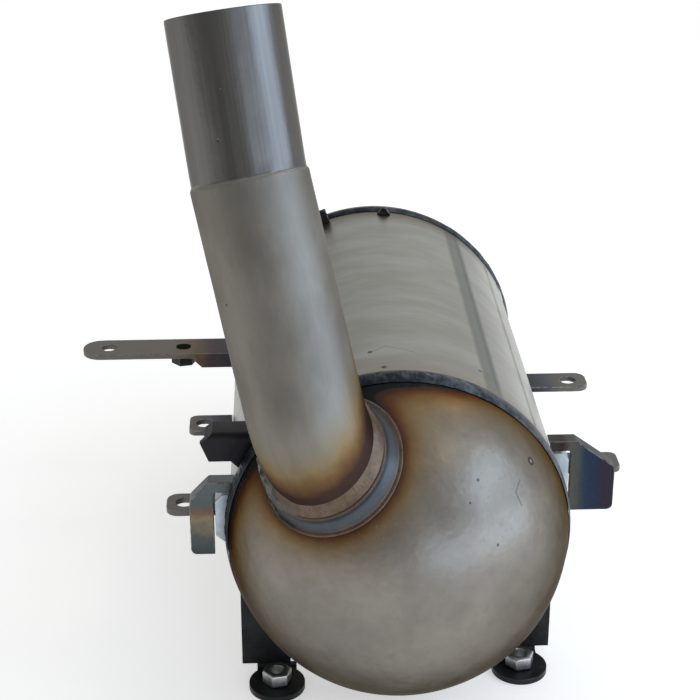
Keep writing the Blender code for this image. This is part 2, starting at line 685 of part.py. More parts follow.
def pipe_clearance(frame):
    """Cutter: the lower pipe, grown by the seat gap, for the dome's hole and the collar's bore."""
    points, large = pipe_route()
    points = points[:large - 1]
    entry = (points[1] - points[0]).normalized()
    points[0] = points[0] - entry * PIPE_CUT_DEPTH
    mesh_data = bmesh.new()
    rings = [add_ring(mesh_data, point, pair, PIPE_RADIUS + SEAT_GAP)
             for point, pair in zip(points, route_frames(points))]
    for one, two in zip(rings, rings[1:]):
        skin(mesh_data, one, two)
    mesh_data.faces.new(rings[0])
    mesh_data.faces.new(rings[-1])
    return add_object("pipe_clearance", mesh_data, frame)


def outlet_collar(frame, pipe_hole):
    """Turned ring that stands on the dome and takes the pipe; its foot follows the dome."""
    inside = PIPE_RADIUS - COLLAR_STOCK
    foot = [(r, sphere_height(r, DOME_RADIUS + SEAT_GAP))
            for r in (inside, PIPE_RADIUS, (PIPE_RADIUS + COLLAR_BASE_RADIUS) / 2, COLLAR_BASE_RADIUS)]
    profile = foot + [(COLLAR_TOP_RADIUS, COLLAR_TOP_REACH), (inside, COLLAR_TOP_REACH)]
    mesh_data = turn_about(profile, COLLAR_SEGMENTS)
    place = axis_matrix(DOME_CENTRE, OUTLET_AXIS)
    collar = add_object("outlet_collar", mesh_data, frame, "weld_metal", place)
    boolean(collar, pipe_hole)
    return collar


def collar_weld_bead(frame):
    """Fillet weld in the corner between the dome and the collar's slanted side."""
    foot = Vector((COLLAR_BASE_RADIUS, sphere_height(COLLAR_BASE_RADIUS, DOME_RADIUS + SEAT_GAP)))
    top = Vector((COLLAR_TOP_RADIUS, COLLAR_TOP_REACH))
    up_side = (top - foot).normalized()
    outward = Vector((up_side.y, -up_side.x))
    corner = foot + outward * FACET_GAP
    high = corner + up_side * COLLAR_BEAD_LEG
    toe_radius = corner.x + COLLAR_BEAD_LEG
    toe = Vector((toe_radius, sphere_height(toe_radius, DOME_RADIUS + SEAT_GAP)))
    profile = [tuple(point) for point in (corner, toe, crowned(toe, high, corner), high)]
    mesh_data = turn_about(profile, COLLAR_SEGMENTS)
    return add_object("collar_weld_bead", mesh_data, frame, "straw_metal",
                      axis_matrix(DOME_CENTRE, OUTLET_AXIS))


def pipe_weld_bead(frame):
    """Fillet weld that follows the line where the pipe leaves the collar's top."""
    points, large = pipe_route()
    points = points[:large]
    frames = route_frames(points)
    level = COLLAR_TOP_REACH + SEAT_GAP
    mesh_data = bmesh.new()
    rings = []
    for k in range(COLLAR_SEGMENTS):
        angle = 2 * math.pi * k / COLLAR_SEGMENTS
        wall = [
            p + (PIPE_RADIUS + FACET_GAP) * (math.cos(angle) * u + math.sin(angle) * v)
            for p, (u, v) in zip(points, frames)
        ]
        heights = [(w - DOME_CENTRE).dot(OUTLET_AXIS) for w in wall]
        index = next(i for i in range(len(wall) - 1) if heights[i] <= level < heights[i + 1])
        share = (level - heights[index]) / (heights[index + 1] - heights[index])
        corner = wall[index].lerp(wall[index + 1], share)
        high = walk_up(wall, index, corner, PIPE_BEAD_LEG)
        offset = corner - DOME_CENTRE - OUTLET_AXIS * level
        toe = corner + offset.normalized() * PIPE_BEAD_BASE_LEG
        section = (corner, toe, crowned(toe, high, corner), high)
        rings.append([mesh_data.verts.new(point) for point in section])
    for one, two in zip(rings, rings[1:] + rings[:1]):
        skin(mesh_data, one, two)
    return add_object("pipe_weld_bead", mesh_data, frame, "straw_metal")


def walk_up(wall, index, start, distance):
    """The point a given distance further along a line of points."""
    here = start
    for point in wall[index + 1:]:
        step = (point - here).length
        if step >= distance:
            return here.lerp(point, distance / step)
        distance -= step
        here = point
    return here


# Brackets


def holes_cutter(name, holes, thickness, frame):
    """One cutter with an upright drill for each (x, y, z, radius), through the given thickness."""
    mesh_data = bmesh.new()
    for x, y, z, radius in holes:
        place = Matrix.Translation((x, y, z))
        bmesh.ops.create_cone(mesh_data, cap_ends=True, segments=HOLE_SEGMENTS, radius1=radius,
                              radius2=radius, depth=thickness + 2 * CUT_MARGIN, matrix=place)
    return add_object(name, mesh_data, frame)


def level_lug(name, side, reach, width, centre_y, height, tip, hole_xs, hole_radius, frame, finish):
    """Flat strap from the shell outwards; its tip corners are rounded to the tip radius."""
    root = clear_of_shell(height - BRACKET_SHEET / 2, height + BRACKET_SHEET / 2)
    half = width / 2
    corners = [(root, -half), (reach, -half), (reach, half), (root, half)]
    outline = round_corners(corners, [0.0, tip, tip, 0.0], ARC_STEPS)
    outline = [(side * x, y) for x, y in outline]
    place = Matrix.Translation((0.0, centre_y, height - BRACKET_SHEET / 2))
    lug = add_object(name, extrude_outline(outline, BRACKET_SHEET), frame, finish, place)
    drills = [(side * x, centre_y, height, hole_radius) for x in hole_xs]
    boolean(lug, holes_cutter(name + "_holes", drills, BRACKET_SHEET, frame))
    return lug


def left_arm(frame):
    """Long strap with two holes; its front edge is turned down beside the shell."""
    tip = (ARM_WIDTH - ARM_TIP_FLAT) / 2
    arm = level_lug("left_arm", -1, ARM_REACH, ARM_WIDTH, ARM_Y, LUG_HEIGHT, tip,
                    [ARM_REACH - ARM_HOLE_INSET, ARM_NUT_X], ARM_HOLE, frame, "grey_bracket")
    bottom = LUG_HEIGHT + BRACKET_SHEET / 2 - ARM_FLANGE_DEPTH
    root = clear_of_shell(bottom, LUG_HEIGHT) + SEAT_GAP
    end = SHELL_RADIUS + ARM_FLANGE_LENGTH
    corners = [(-root, LUG_HEIGHT), (-end, LUG_HEIGHT), (-end, bottom + ARM_FLANGE_CHAMFER),
               (ARM_FLANGE_CHAMFER - end, bottom), (-root, bottom)]
    front = ARM_Y - ARM_WIDTH / 2
    flange = add_object("left_arm_flange", extrude_outline(corners, BRACKET_SHEET), frame, None,
                        facing_front(front + BRACKET_SHEET))
    boolean(arm, flange, "UNION")
    return arm


def block_bracket(name, side, reach, inner, front_y, chamfer, frame, finish):
    """Folded plate: a front web with a chamfered corner and a rim folded back round it."""
    root = shell_x(BLOCK_TOP)
    arm_drop = BLOCK_TOP - 2 * BRACKET_SHEET
    chamfer_run, chamfer_drop = chamfer
    drop = BLOCK_TOP - chamfer_drop
    corners = [(root, BLOCK_TOP), (reach - chamfer_run, BLOCK_TOP), (reach, drop),
               (reach, BLOCK_BOTTOM), (inner, BLOCK_BOTTOM), (inner, arm_drop)]
    radii = [0.0, BLOCK_TOP_CORNER, BLOCK_SIDE_CORNER, BLOCK_FOOT_CORNER, 0.0, BLOCK_TOP_CORNER]
    outline = round_corners(corners, radii)
    shell_reach = SHELL_RADIUS + SEAT_GAP
    outline += arc_points((0.0, 0.0), shell_reach, math.asin(arm_drop / shell_reach),
                          math.asin(BLOCK_TOP / shell_reach), ARC_STEPS // 2)[:-1]
    mirrored = [(side * x, z) for x, z in outline]
    plate = add_object(name, extrude_outline(mirrored, BLOCK_DEPTH), frame, finish,
                       facing_front(front_y + BLOCK_DEPTH))
    slope = math.atan2(chamfer_drop, chamfer_run)
    top_shift = BRACKET_SHEET * math.tan(slope / 2)
    side_shift = BRACKET_SHEET * math.tan((math.pi / 2 - slope) / 2)
    within = root - BLOCK_DEPTH
    under = BLOCK_BOTTOM - CUT_MARGIN
    hollow = [(within, BLOCK_TOP - BRACKET_SHEET),
              (reach - chamfer_run - top_shift, BLOCK_TOP - BRACKET_SHEET),
              (reach - BRACKET_SHEET, drop - side_shift), (reach - BRACKET_SHEET, under), (within, under)]
    hollow = [(side * x, z) for x, z in hollow]
    cutter = add_object(name + "_hollow", extrude_outline(hollow, BLOCK_DEPTH), frame, None,
                        facing_front(front_y + BLOCK_DEPTH + BRACKET_SHEET))
    boolean(plate, cutter)
    return plate


def block_pad(name, side, inner, front_y, frame):
    """Spacer between shell and block bracket; its inner face is rolled to the shell."""
    outer = inner - PAD_CLEARANCE
    top = BLOCK_TOP - 2 * BRACKET_SHEET - PAD_CLEARANCE
    reach = SHELL_RADIUS + SEAT_GAP
    outline = [(outer, PAD_BOTTOM + PAD_TAPER), (outer, top - PAD_CHAMFER), (outer - PAD_CHAMFER, top)]
    outline += arc_points((0.0, 0.0), reach, math.asin(top / reach), math.asin(PAD_BOTTOM / reach),
                          ARC_STEPS)
    outline = [(side * x, z) for x, z in outline]
    return add_object(name, extrude_outline(outline, PAD_DEPTH), frame, "tinted_bracket",
                      facing_front(front_y + PAD_DEPTH))


def shell_clearance(frame):
    """Cutter: the shell grown by the seat gap, for sheet that is trimmed to sit on it."""
    profile = [(0.0, 0.0), (SHELL_RADIUS + SEAT_GAP, 0.0),
               (SHELL_RADIUS + SEAT_GAP, SHELL_LENGTH), (0.0, SHELL_LENGTH)]
    return add_object("shell_clearance", turn_about(profile, 2 * ROUND_SEGMENTS), frame, None,
                      ALONG_CANISTER)


def upper_angle_bracket(frame):
    """Length of folded angle trimmed to the shell, with a slanted end and a flared root."""
    bottom = ANGLE_TOP - ANGLE_HEIGHT
    root_bottom = bottom - ANGLE_FLARE
    near, far = ANGLE_Y, ANGLE_Y + ANGLE_DEPTH
    section = [(near, root_bottom), (near + BRACKET_SHEET, root_bottom),
               (near + BRACKET_SHEET, ANGLE_TOP - BRACKET_SHEET), (far, ANGLE_TOP - BRACKET_SHEET),
               (far, ANGLE_TOP), (near, ANGLE_TOP)]
    section = round_corners(section, [0.0, 0.0, ANGLE_INNER_RADIUS, 0.0, 0.0, BRACKET_SHEET])
    across = Matrix(((0, 0, 1, -ANGLE_REACH), (1, 0, 0, 0), (0, 1, 0, 0), (0, 0, 0, 1)))
    angle = add_object("upper_angle_bracket", extrude_outline(section, ANGLE_REACH - SHELL_RADIUS / 2),
                       frame, "dark_bracket", across)
    past = -ANGLE_REACH - CUT_MARGIN
    low = root_bottom - CUT_MARGIN
    high = ANGLE_TOP + CUT_MARGIN
    flare_x = ANGLE_FLARE_SETBACK - ANGLE_REACH
    corner_run, corner_drop = ANGLE_CORNER
    waste = [(past, high), (corner_run * (1 + CUT_MARGIN / corner_drop) - ANGLE_REACH, high),
             (-ANGLE_REACH, ANGLE_TOP - corner_drop),
             (ANGLE_BEVEL - ANGLE_REACH, bottom), (flare_x, bottom),
             (flare_x + ANGLE_FLARE, root_bottom), (flare_x + ANGLE_FLARE, low), (past, low)]
    trim = add_object("upper_angle_waste", extrude_outline(waste, 2 * ANGLE_DEPTH), frame, None,
                      facing_front(ANGLE_Y + 1.5 * ANGLE_DEPTH))
    boolean(angle, trim)
    boolean(angle, shell_clearance(frame))
    return angle


def foot_x(side, web_inset, web_width, offset):
    """Middle of a foot's tab across the canister, worked out from the web that carries it."""
    return side * (SHELL_RADIUS - web_inset - web_width / 2 - offset)


def foot(name, side, centre_x, centre_y, web_inset, web_width, frame):
    """Web behind the dome, bent forwards into a narrow neck and a round tab with a hole.

    An angle section as wide as the whole foot is trimmed twice: from the front to the web,
    whose top follows the shell, and from above to the neck and the tab.
    """
    floor = -AXIS_HEIGHT
    web_y = centre_y + FOOT_WEB_SETBACK
    back_y = web_y + BRACKET_SHEET
    bend_y = web_y - FOOT_BEND_RADIUS
    bend_top = floor + BRACKET_SHEET + FOOT_BEND_RADIUS
    front_y = centre_y - FOOT_TAB_RADIUS - CUT_MARGIN
    reach = SHELL_RADIUS + SEAT_GAP
    web = sorted((side * (SHELL_RADIUS - web_inset), side * (SHELL_RADIUS - web_inset - web_width)))
    low_x = min(web[0], centre_x - FOOT_TAB_RADIUS) - CUT_MARGIN
    high_x = max(web[1], centre_x + FOOT_TAB_RADIUS) + CUT_MARGIN
    top = CUT_MARGIN - sphere_height(max(abs(x) for x in web), reach)

    section = [(front_y, floor)]
    section += arc_points((bend_y, bend_top), back_y - bend_y, -math.pi / 2, 0.0, BEND_STEPS)
    section += [(back_y, top), (web_y, top)]
    section += arc_points((bend_y, bend_top), FOOT_BEND_RADIUS, 0.0, -math.pi / 2, BEND_STEPS)
    section += [(front_y, floor + BRACKET_SHEET)]
    across = Matrix(((0, 0, 1, low_x), (1, 0, 0, 0), (0, 1, 0, 0), (0, 0, 0, 1)))
    sheet = add_object(name, extrude_outline(section, high_x - low_x), frame, "dark_bracket", across)

    near, far = low_x - CUT_MARGIN, high_x + CUT_MARGIN
    low_z = floor + BRACKET_SHEET + FOOT_BEND_RADIUS / 2
    curve = arc_points((0.0, 0.0), reach, -math.acos(web[0] / reach), -math.acos(web[1] / reach), ARC_STEPS)
    web_waste = [(near, low_z), (web[0], low_z)] + curve + [
        (web[1], low_z), (far, low_z), (far, top + CUT_MARGIN), (near, top + CUT_MARGIN)]
    depth = back_y - front_y + 2 * CUT_MARGIN
    boolean(sheet, add_object(name + "_web_waste", extrude_outline(web_waste, depth), frame, None,
                              facing_front(back_y + CUT_MARGIN)))

    half_neck = FOOT_NECK_WIDTH / 2
    corner = math.acos(half_neck / FOOT_TAB_RADIUS)
    tab = arc_points((centre_x, centre_y), FOOT_TAB_RADIUS, corner, -math.pi - corner, TAB_SEGMENTS)
    past_front, past_back = front_y - CUT_MARGIN, back_y + CUT_MARGIN
    tab_waste = [(near, past_back), (near, past_front), (far, past_front), (far, past_back),
                 (centre_x + half_neck, past_back)] + tab + [(centre_x - half_neck, past_back)]
    boolean(sheet, add_object(name + "_tab_waste",
                              extrude_outline(tab_waste, bend_top - floor + CUT_MARGIN), frame, None,
                              Matrix.Translation((0.0, 0.0, floor - CUT_MARGIN))))
    drill = [(centre_x, centre_y, floor, FOOT_HOLE_RADIUS)]
    boolean(sheet, holes_cutter(name + "_hole", drill, 2 * BRACKET_SHEET, frame))
    return sheet


def hex_nut(name, x, y, base_z, frame, finish):
    """Plain hexagon nut with chamfered corners and a round bore."""
    corner = NUT_ACROSS_FLATS / math.sqrt(3)
    levels = [(0.0, 0.0), (corner - NUT_CHAMFER, 0.0), (corner, NUT_CHAMFER_HEIGHT),
              (corner, NUT_HEIGHT - NUT_CHAMFER_HEIGHT), (corner - NUT_CHAMFER, NUT_HEIGHT),
              (0.0, NUT_HEIGHT)]
    place = Matrix.Translation((x, y, base_z)) @ Matrix.Rotation(NUT_TURN, 4, "Z")
    nut = add_object(name, turn_about(levels, NUT_SIDES), frame, finish, place)
    drill = [(x, y, base_z + NUT_HEIGHT / 2, NUT_BORE_RADIUS)]
    boolean(nut, holes_cutter(name + "_bore", drill, NUT_HEIGHT, frame))
    return nut


def rear_tab(name, x, width, tip_width, rise, frame):
    """Small upright tab on the shell's rear rim."""
    angle = math.asin(x / (SHELL_RADIUS + SEAT_GAP))
    foot_z = SHELL_RADIUS + SEAT_GAP
    outline = [(-width / 2, foot_z), (width / 2, foot_z),
               (tip_width / 2, foot_z + rise), (-tip_width / 2, foot_z + rise)]
    place = Matrix.Rotation(angle, 4, "Y") @ facing_front(REAR_TAB_Y + BRACKET_SHEET / 2)
    return add_object(name, extrude_outline(outline, BRACKET_SHEET), frame, "dark_bracket", place)


def build():
    clear_scene()
    frame = make_frame()
    pipe_hole = pipe_clearance(frame)

    canister_shell(frame)
    front_dome(frame, pipe_hole)
    front_weld_bead(frame)
    rear_weld_bead(frame)
    rear_cone(frame)
    inlet_neck(frame)
    inlet_weld_bead(frame)
    inlet_flange(frame)

    filter_substrate(frame)
    support_mat(frame)
    retaining_ring("front_retaining_ring", SUBSTRATE_INSET, -1, frame)
    retaining_ring("rear_retaining_ring", SUBSTRATE_REAR_Y, 1, frame)

    outlet_pipe(frame)
    outlet_collar(frame, pipe_hole)
    collar_weld_bead(frame)
    pipe_weld_bead(frame)

    left_arm(frame)
    hex_nut("arm_nut", -ARM_NUT_X, ARM_Y,
            LUG_HEIGHT - BRACKET_SHEET / 2 - SEAT_GAP - NUT_HEIGHT, frame, "dark_bracket")
    level_lug("left_lug", -1, LEFT_LUG_REACH, LEFT_LUG_WIDTH, LEFT_LUG_Y, LUG_HEIGHT, LEFT_LUG_CORNER,
              [LEFT_LUG_REACH - LEFT_LUG_HOLE_INSET], LUG_HOLE, frame, "grey_bracket")
    level_lug("right_strap", 1, RIGHT_STRAP_REACH, RIGHT_STRAP_WIDTH, RIGHT_STRAP_Y, LUG_HEIGHT,
              RIGHT_STRAP_CORNER, [RIGHT_STRAP_REACH - RIGHT_STRAP_HOLE_INSET], LUG_HOLE, frame,
              "grey_bracket")
    level_lug("left_small_lug", -1, LEFT_SMALL_LUG_REACH, SMALL_LUG_WIDTH,
              LEFT_BLOCK_Y + SMALL_LUG_OFFSET, LOW_LUG_HEIGHT, LEFT_SMALL_LUG_CORNER,
              [LEFT_SMALL_LUG_REACH - SMALL_LUG_HOLE_INSET], LUG_HOLE, frame, "grey_bracket")
    level_lug("right_small_lug", 1, RIGHT_SMALL_LUG_REACH, SMALL_LUG_WIDTH,
              RIGHT_BLOCK_Y + SMALL_LUG_OFFSET, LOW_LUG_HEIGHT, RIGHT_SMALL_LUG_CORNER,
              [RIGHT_SMALL_LUG_REACH - SMALL_LUG_HOLE_INSET], LUG_HOLE, frame, "grey_bracket")

    block_bracket("left_block_bracket", -1, LEFT_BLOCK_REACH, LEFT_BLOCK_INNER, LEFT_BLOCK_Y,
                  LEFT_CHAMFER, frame, "tinted_bracket")
    block_pad("left_block_pad", -1, LEFT_BLOCK_INNER, LEFT_BLOCK_Y, frame)
    block_bracket("right_block_bracket", 1, RIGHT_BLOCK_REACH, RIGHT_BLOCK_INNER, RIGHT_BLOCK_Y,
                  RIGHT_CHAMFER, frame, "dark_bracket")
    block_pad("right_block_pad", 1, RIGHT_BLOCK_INNER, RIGHT_BLOCK_Y, frame)
    upper_angle_bracket(frame)

    tab_top = -AXIS_HEIGHT + BRACKET_SHEET + SEAT_GAP
    left_x = foot_x(-1, LEFT_WEB_INSET, LEFT_WEB_WIDTH, LEFT_FOOT_OFFSET)
    right_x = foot_x(1, RIGHT_WEB_INSET, RIGHT_WEB_WIDTH, RIGHT_FOOT_OFFSET)
    foot("left_foot", -1, left_x, LEFT_FOOT_Y, LEFT_WEB_INSET, LEFT_WEB_WIDTH, frame)
    foot("right_foot", 1, right_x, RIGHT_FOOT_Y, RIGHT_WEB_INSET, RIGHT_WEB_WIDTH, frame)
    hex_nut("left_foot_nut", left_x, LEFT_FOOT_Y, tab_top, frame, "zinc_nut")
    hex_nut("right_foot_nut", right_x, RIGHT_FOOT_Y, tab_top, frame, "zinc_nut")

    rear_tab("rear_tab", REAR_TAB_X, REAR_TAB_WIDTH, REAR_TAB_WIDTH, REAR_TAB_RISE, frame)
    rear_tab("rear_pip", REAR_PIP_X, REAR_PIP_WIDTH, REAR_PIP_TIP, REAR_PIP_RISE, frame)


build()
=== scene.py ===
# Finish, fine surfaces, light and camera for a diesel particulate filter canister.
# Units are metres, +Z is up, and the outlet dome faces -Y.
# The outer pieces are made again here as fine smooth meshes on the same sizes as the solids,
# apart from the lap's height, the collar's foot and the place of the pipe's step.

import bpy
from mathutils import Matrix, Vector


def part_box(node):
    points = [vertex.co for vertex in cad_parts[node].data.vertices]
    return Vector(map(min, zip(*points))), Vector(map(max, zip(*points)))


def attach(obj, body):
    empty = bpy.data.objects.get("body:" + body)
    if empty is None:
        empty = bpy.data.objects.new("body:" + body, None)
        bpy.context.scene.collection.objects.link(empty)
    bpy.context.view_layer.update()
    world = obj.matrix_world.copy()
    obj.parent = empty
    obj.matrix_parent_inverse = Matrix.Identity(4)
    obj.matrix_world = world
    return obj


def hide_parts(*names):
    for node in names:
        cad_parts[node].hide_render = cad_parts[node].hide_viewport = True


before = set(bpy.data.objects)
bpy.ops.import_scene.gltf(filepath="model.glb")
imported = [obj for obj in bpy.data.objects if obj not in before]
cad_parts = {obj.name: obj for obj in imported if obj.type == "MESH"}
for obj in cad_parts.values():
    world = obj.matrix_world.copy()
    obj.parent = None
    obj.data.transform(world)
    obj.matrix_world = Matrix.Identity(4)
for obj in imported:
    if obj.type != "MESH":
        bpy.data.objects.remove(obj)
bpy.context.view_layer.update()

from math import acos, asin, atan2, ceil, cos, dist, hypot, pi, radians, sin, sqrt, tan

import bmesh
import bpy
from mathutils import Matrix, Vector, noise

# Sizes of the solids, as the frame has them
SHEET = 0.0015
SEAT_GAP = 0.0003
FACET_GAP = 0.0004
SHELL_RADIUS = 0.082
SHELL_LENGTH = 0.230
LAP_ANGLE = radians(32)
LAP_WIDTH = 0.012
LAP_SETBACK = 0.006
LAP_RAMP = 0.003
LAP_STEP = radians(0.6)
DOME_OVERHANG = 0.00104
DOME_CENTRE_Y = 0.0048
DOME_RADIUS = hypot(SHELL_RADIUS + DOME_OVERHANG, DOME_CENTRE_Y + SEAT_GAP)
BEAD_FRONT_Y = -0.0095
BEAD_REAR_Y = 0.0008
BEAD_HEIGHT = 0.0013
REAR_BEAD_WIDTH = 0.008
REAR_BEAD_HEIGHT = 0.0014
CONE_LENGTH = 0.052
CONE_SKIRT = 0.010
CONE_SHOULDER_RADIUS = 0.012
CONE_THROAT_RADIUS = 0.006
NECK_RADIUS = 0.030
SPIGOT_LENGTH = 0.018
NECK_LENGTH = 0.026
NECK_INSERTION = 0.010
NECK_BEAD_LEG = 0.003
FLANGE_RISE = 0.0112
FLANGE_WIDTH = 0.012
FLANGE_LIP = 0.003
FLANGE_HUB = 0.003
FLANGE_SLANT = 0.0035
OUTLET_CLOCK = radians(120.7)
COLLAR_SEAM_SETBACK = 0.0064
COLLAR_BASE_WALL = 0.0081
COLLAR_RISE = 0.0040
COLLAR_BEAD_LEG = 0.0020
PIPE_BEAD_BASE_LEG = 0.0026
PIPE_BEAD_LEG = 0.0058
PIPE_RADIUS = 0.0265
PIPE_SIZING = 0.0009
PIPE_ENTRY_SINK = 0.0004
PIPE_ENTRY_BLEND = 0.15
PIPE_ENTRY_DEPTH = 0.009
PIPE_BEND_THROAT = 0.0109
PIPE_LEG_SIDE = radians(13.2)
PIPE_LEG_LEAN = radians(19.9)
PIPE_LEG_LENGTH = 0.0969
PIPE_SHOULDER_LENGTH = 0.006
PIPE_END_SIDE = radians(8.2)
PIPE_END_LEAN = radians(15.8)
PIPE_END_BEND_RADIUS = 0.120
PIPE_END_LENGTH = 0.0640

# Shown otherwise than in the solids: a lap that is dressed down along its whole length, a collar
# that is slimmer on the same axis and height, and a later step in the pipe
LAP_SHOWN = 0.0006
SHOWN_BASE_WALL = 0.0063
SHOWN_TOP_WALL = 0.0029
SHOWN_BEAD_LEG = 0.0008
SHOWN_STEP_AFTER_BEND = 0.0050      # the sized end starts this far up the upper bend

# Derived places, in the canister's own frame: origin on the axis at the shell's front edge
CONE_FRONT_Y = SHELL_LENGTH + SEAT_GAP
CONE_END_Y = CONE_FRONT_Y + CONE_LENGTH
SPIGOT_END_Y = CONE_END_Y + SPIGOT_LENGTH
NECK_OUTER_RADIUS = NECK_RADIUS + SEAT_GAP + SHEET
NECK_FRONT_Y = SPIGOT_END_Y - NECK_INSERTION
NECK_END_Y = NECK_FRONT_Y + NECK_LENGTH
FLANGE_FRONT_Y = NECK_END_Y - FLANGE_WIDTH
FLANGE_RADIUS = NECK_OUTER_RADIUS + FLANGE_RISE
SOLID_TOE_RADIUS = PIPE_RADIUS + COLLAR_BASE_WALL + FACET_GAP + COLLAR_BEAD_LEG
COLLAR_BASE_RADIUS = PIPE_RADIUS + SHOWN_BASE_WALL
COLLAR_TOE_RADIUS = COLLAR_BASE_RADIUS + FACET_GAP + SHOWN_BEAD_LEG
OUTLET_TILT = (acos(DOME_CENTRE_Y / DOME_RADIUS) - asin(SOLID_TOE_RADIUS / DOME_RADIUS)
               - COLLAR_SEAM_SETBACK / DOME_RADIUS)
OUTLET_AXIS = Vector((
    cos(OUTLET_CLOCK) * sin(OUTLET_TILT),
    -cos(OUTLET_TILT),
    sin(OUTLET_CLOCK) * sin(OUTLET_TILT),
))
OUTLET_SIDE = OUTLET_AXIS.cross(Vector((0.0, 0.0, 1.0))).normalized()
OUTLET_UP = OUTLET_SIDE.cross(OUTLET_AXIS)
COLLAR_TOP_RADIUS = PIPE_RADIUS + SHOWN_TOP_WALL
COLLAR_TOP_REACH = DOME_RADIUS + COLLAR_RISE
PIPE_BEND_RADIUS = PIPE_RADIUS + PIPE_BEND_THROAT

# Where the canister's own frame lies in the frame of the solids
block_low, block_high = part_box("filter_substrate")
shell_low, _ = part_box("canister_shell")
ORIGIN = Vector(((block_low.x + block_high.x) / 2, shell_low.y, (block_low.z + block_high.z) / 2))
DOME_CENTRE = ORIGIN + Vector((0.0, DOME_CENTRE_Y, 0.0))

# Fineness of the surfaces
ROUND = 360               # columns round the canister
BEAD_ROUND = 900          # columns round the front weld
COLLAR_ROUND = 300        # columns round the collar and its welds
PIPE_ROUND = 120
EDGE_WIDTH = 0.0004       # rounding of a cut plate's edges
RIM_CHAMFER = 0.0003      # of the pipe's cut end
RIM_INNER_CHAMFER = 0.0002
SHARP = radians(38)

# Welds: how they were laid
HAND_LAID_AT = radians(118)       # middle of the lumpy stretch of the seam weld
WELD_CLEARANCE = 0.00005          # keeps a weld's corner off the metal beside it

# Heat left by the welds: how far it fades out, and how strong it is at the weld
SEAM_HEAT_REACH = 0.0105
SEAM_HEAT_LOW, SEAM_HEAT_HIGH = 0.42, 1.32    # elsewhere, and at the upper left
COLLAR_HEAT_REACH = 0.0062
COLLAR_HEAT = 0.74
PIPE_HEAT_START = 0.0056          # past the pipe's weld
PIPE_HEAT_REACH = 0.024

# Dark band along the shell and its darker core, a painted reflection
REFLECTION_BAND_AT = radians(56)
REFLECTION_CORE_AT = radians(54.2)

# Floor, camera and light
FLOOR_REACH = 8.0
FLOOR_GLOW = 0.46
LAMP_TARGET = Vector((0.0, -0.05, 0.12))
CAMERA_PLACE = (-0.0278, -0.8333, 0.5018)
CAMERA_TURN = (radians(65.93), 0.0, radians(-2.45))
CAMERA_LENS = 87.19
CAMERA_SENSOR = 36.0


# Mesh helpers


def in_place(x, y, z):
    """A point of the canister's own frame, in the frame of the solids."""
    return ORIGIN + Vector((x, y, z))


def on_ring(radius, angle, y):
    """A point round the canister's axis, in the frame of the solids."""
    return in_place(radius * cos(angle), y, radius * sin(angle))


def off_outlet(angle):
    """Unit vector square to the outlet's axis, at an angle round it."""
    return OUTLET_SIDE * cos(angle) + OUTLET_UP * sin(angle)


def around(columns):
    """Evenly spaced angles, one for each column."""
    return [2 * pi * k / columns for k in range(columns)]


def new_object(name, data):
    thing = bpy.data.objects.new(name, data)
    bpy.context.scene.collection.objects.link(thing)
    return thing


def finish_mesh(name, mesh, material):
    thing = new_object(name, mesh)
    mesh.materials.append(material)
    mesh.shade_smooth()
    mesh.set_sharp_from_angle(angle=SHARP)
    return thing


def ring_mesh(name, rows, material, grain=None):
    """A closed skin from rows of points: each row is a ring, and the last row meets the first."""
    count = len(rows[0])
    points = [point for row in rows for point in row]
    faces = []
    for index in range(len(rows)):
        here = index * count
        there = (index + 1) % len(rows) * count
        for k in range(count):
            nxt = (k + 1) % count
            faces.append((here + k, here + nxt, there + nxt, there + k))
    mesh = bpy.data.meshes.new(name)
    mesh.from_pydata(points, [], faces)
    skin = bmesh.new()
    skin.from_mesh(mesh)
    bmesh.ops.recalc_face_normals(skin, faces=skin.faces)
    skin.to_mesh(mesh)
    skin.free()
    if grain is not None:
        layer = mesh.attributes.new("grain", "FLOAT_VECTOR", "POINT")
        layer.data.foreach_set("vector", [c for row in grain for point in row for c in point])
    return finish_mesh(name, mesh, material)


def turned(name, profile, columns, material, shift=None):
    """A ring turned about the canister's axis from (radius, y); shift moves each point's radius."""
    rows = [[on_ring(radius + (shift(angle, radius, y) if shift else 0.0), angle, y)
             for angle in around(columns)] for radius, y in profile]
    return ring_mesh(name, rows, material)


def split(profile, longest):
    """The same outline with extra points, so that no step is longer than the given length."""
    fine = []
    for here, there in zip(profile, profile[1:] + profile[:1]):
        length = dist(here, there)
        steps = max(1, ceil(length / longest))
        fine += [(here[0] + (there[0] - here[0]) * k / steps,
                  here[1] + (there[1] - here[1]) * k / steps) for k in range(steps)]
    return fine


def rounded(profile, radii, steps=6):
    """The same outline with its corners replaced by arcs."""
    outline = []
    for k, radius in enumerate(radii):
        here = Vector(profile[k])
        before = (Vector(profile[k - 1]) - here).normalized()
        after = (Vector(profile[(k + 1) % len(profile)]) - here).normalized()
        if radius == 0.0:
            outline.append(tuple(here))
            continue
        half = before.angle(after) / 2
        reach = radius / tan(half)
        centre = here + (before + after).normalized() * (radius / sin(half))
        first = here + before * reach - centre
        turn = first.angle_signed(here + after * reach - centre)
        for step in range(steps + 1):
            outline.append(tuple(centre + Matrix.Rotation(-turn * step / steps, 2) @ first))
    return outline


def uneven(point, spacing, height, seed=0.0):
    """A smooth uneven height at a point; spacing is the distance between lumps."""
    return height * noise.noise(Vector(point) / spacing + Vector((seed, seed, seed)))


def smooth_step(low, high, value):
    share = min(max((value - low) / (high - low), 0.0), 1.0)
    return share * share * (3 - 2 * share)


def dress(piece, slot, *nodes):
    """The piece rides on the one body and stands for the nodes, which are hidden; slot is not used.
    """
    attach(piece, "root")
    if nodes:
        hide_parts(*nodes)
    return piece


# Materials


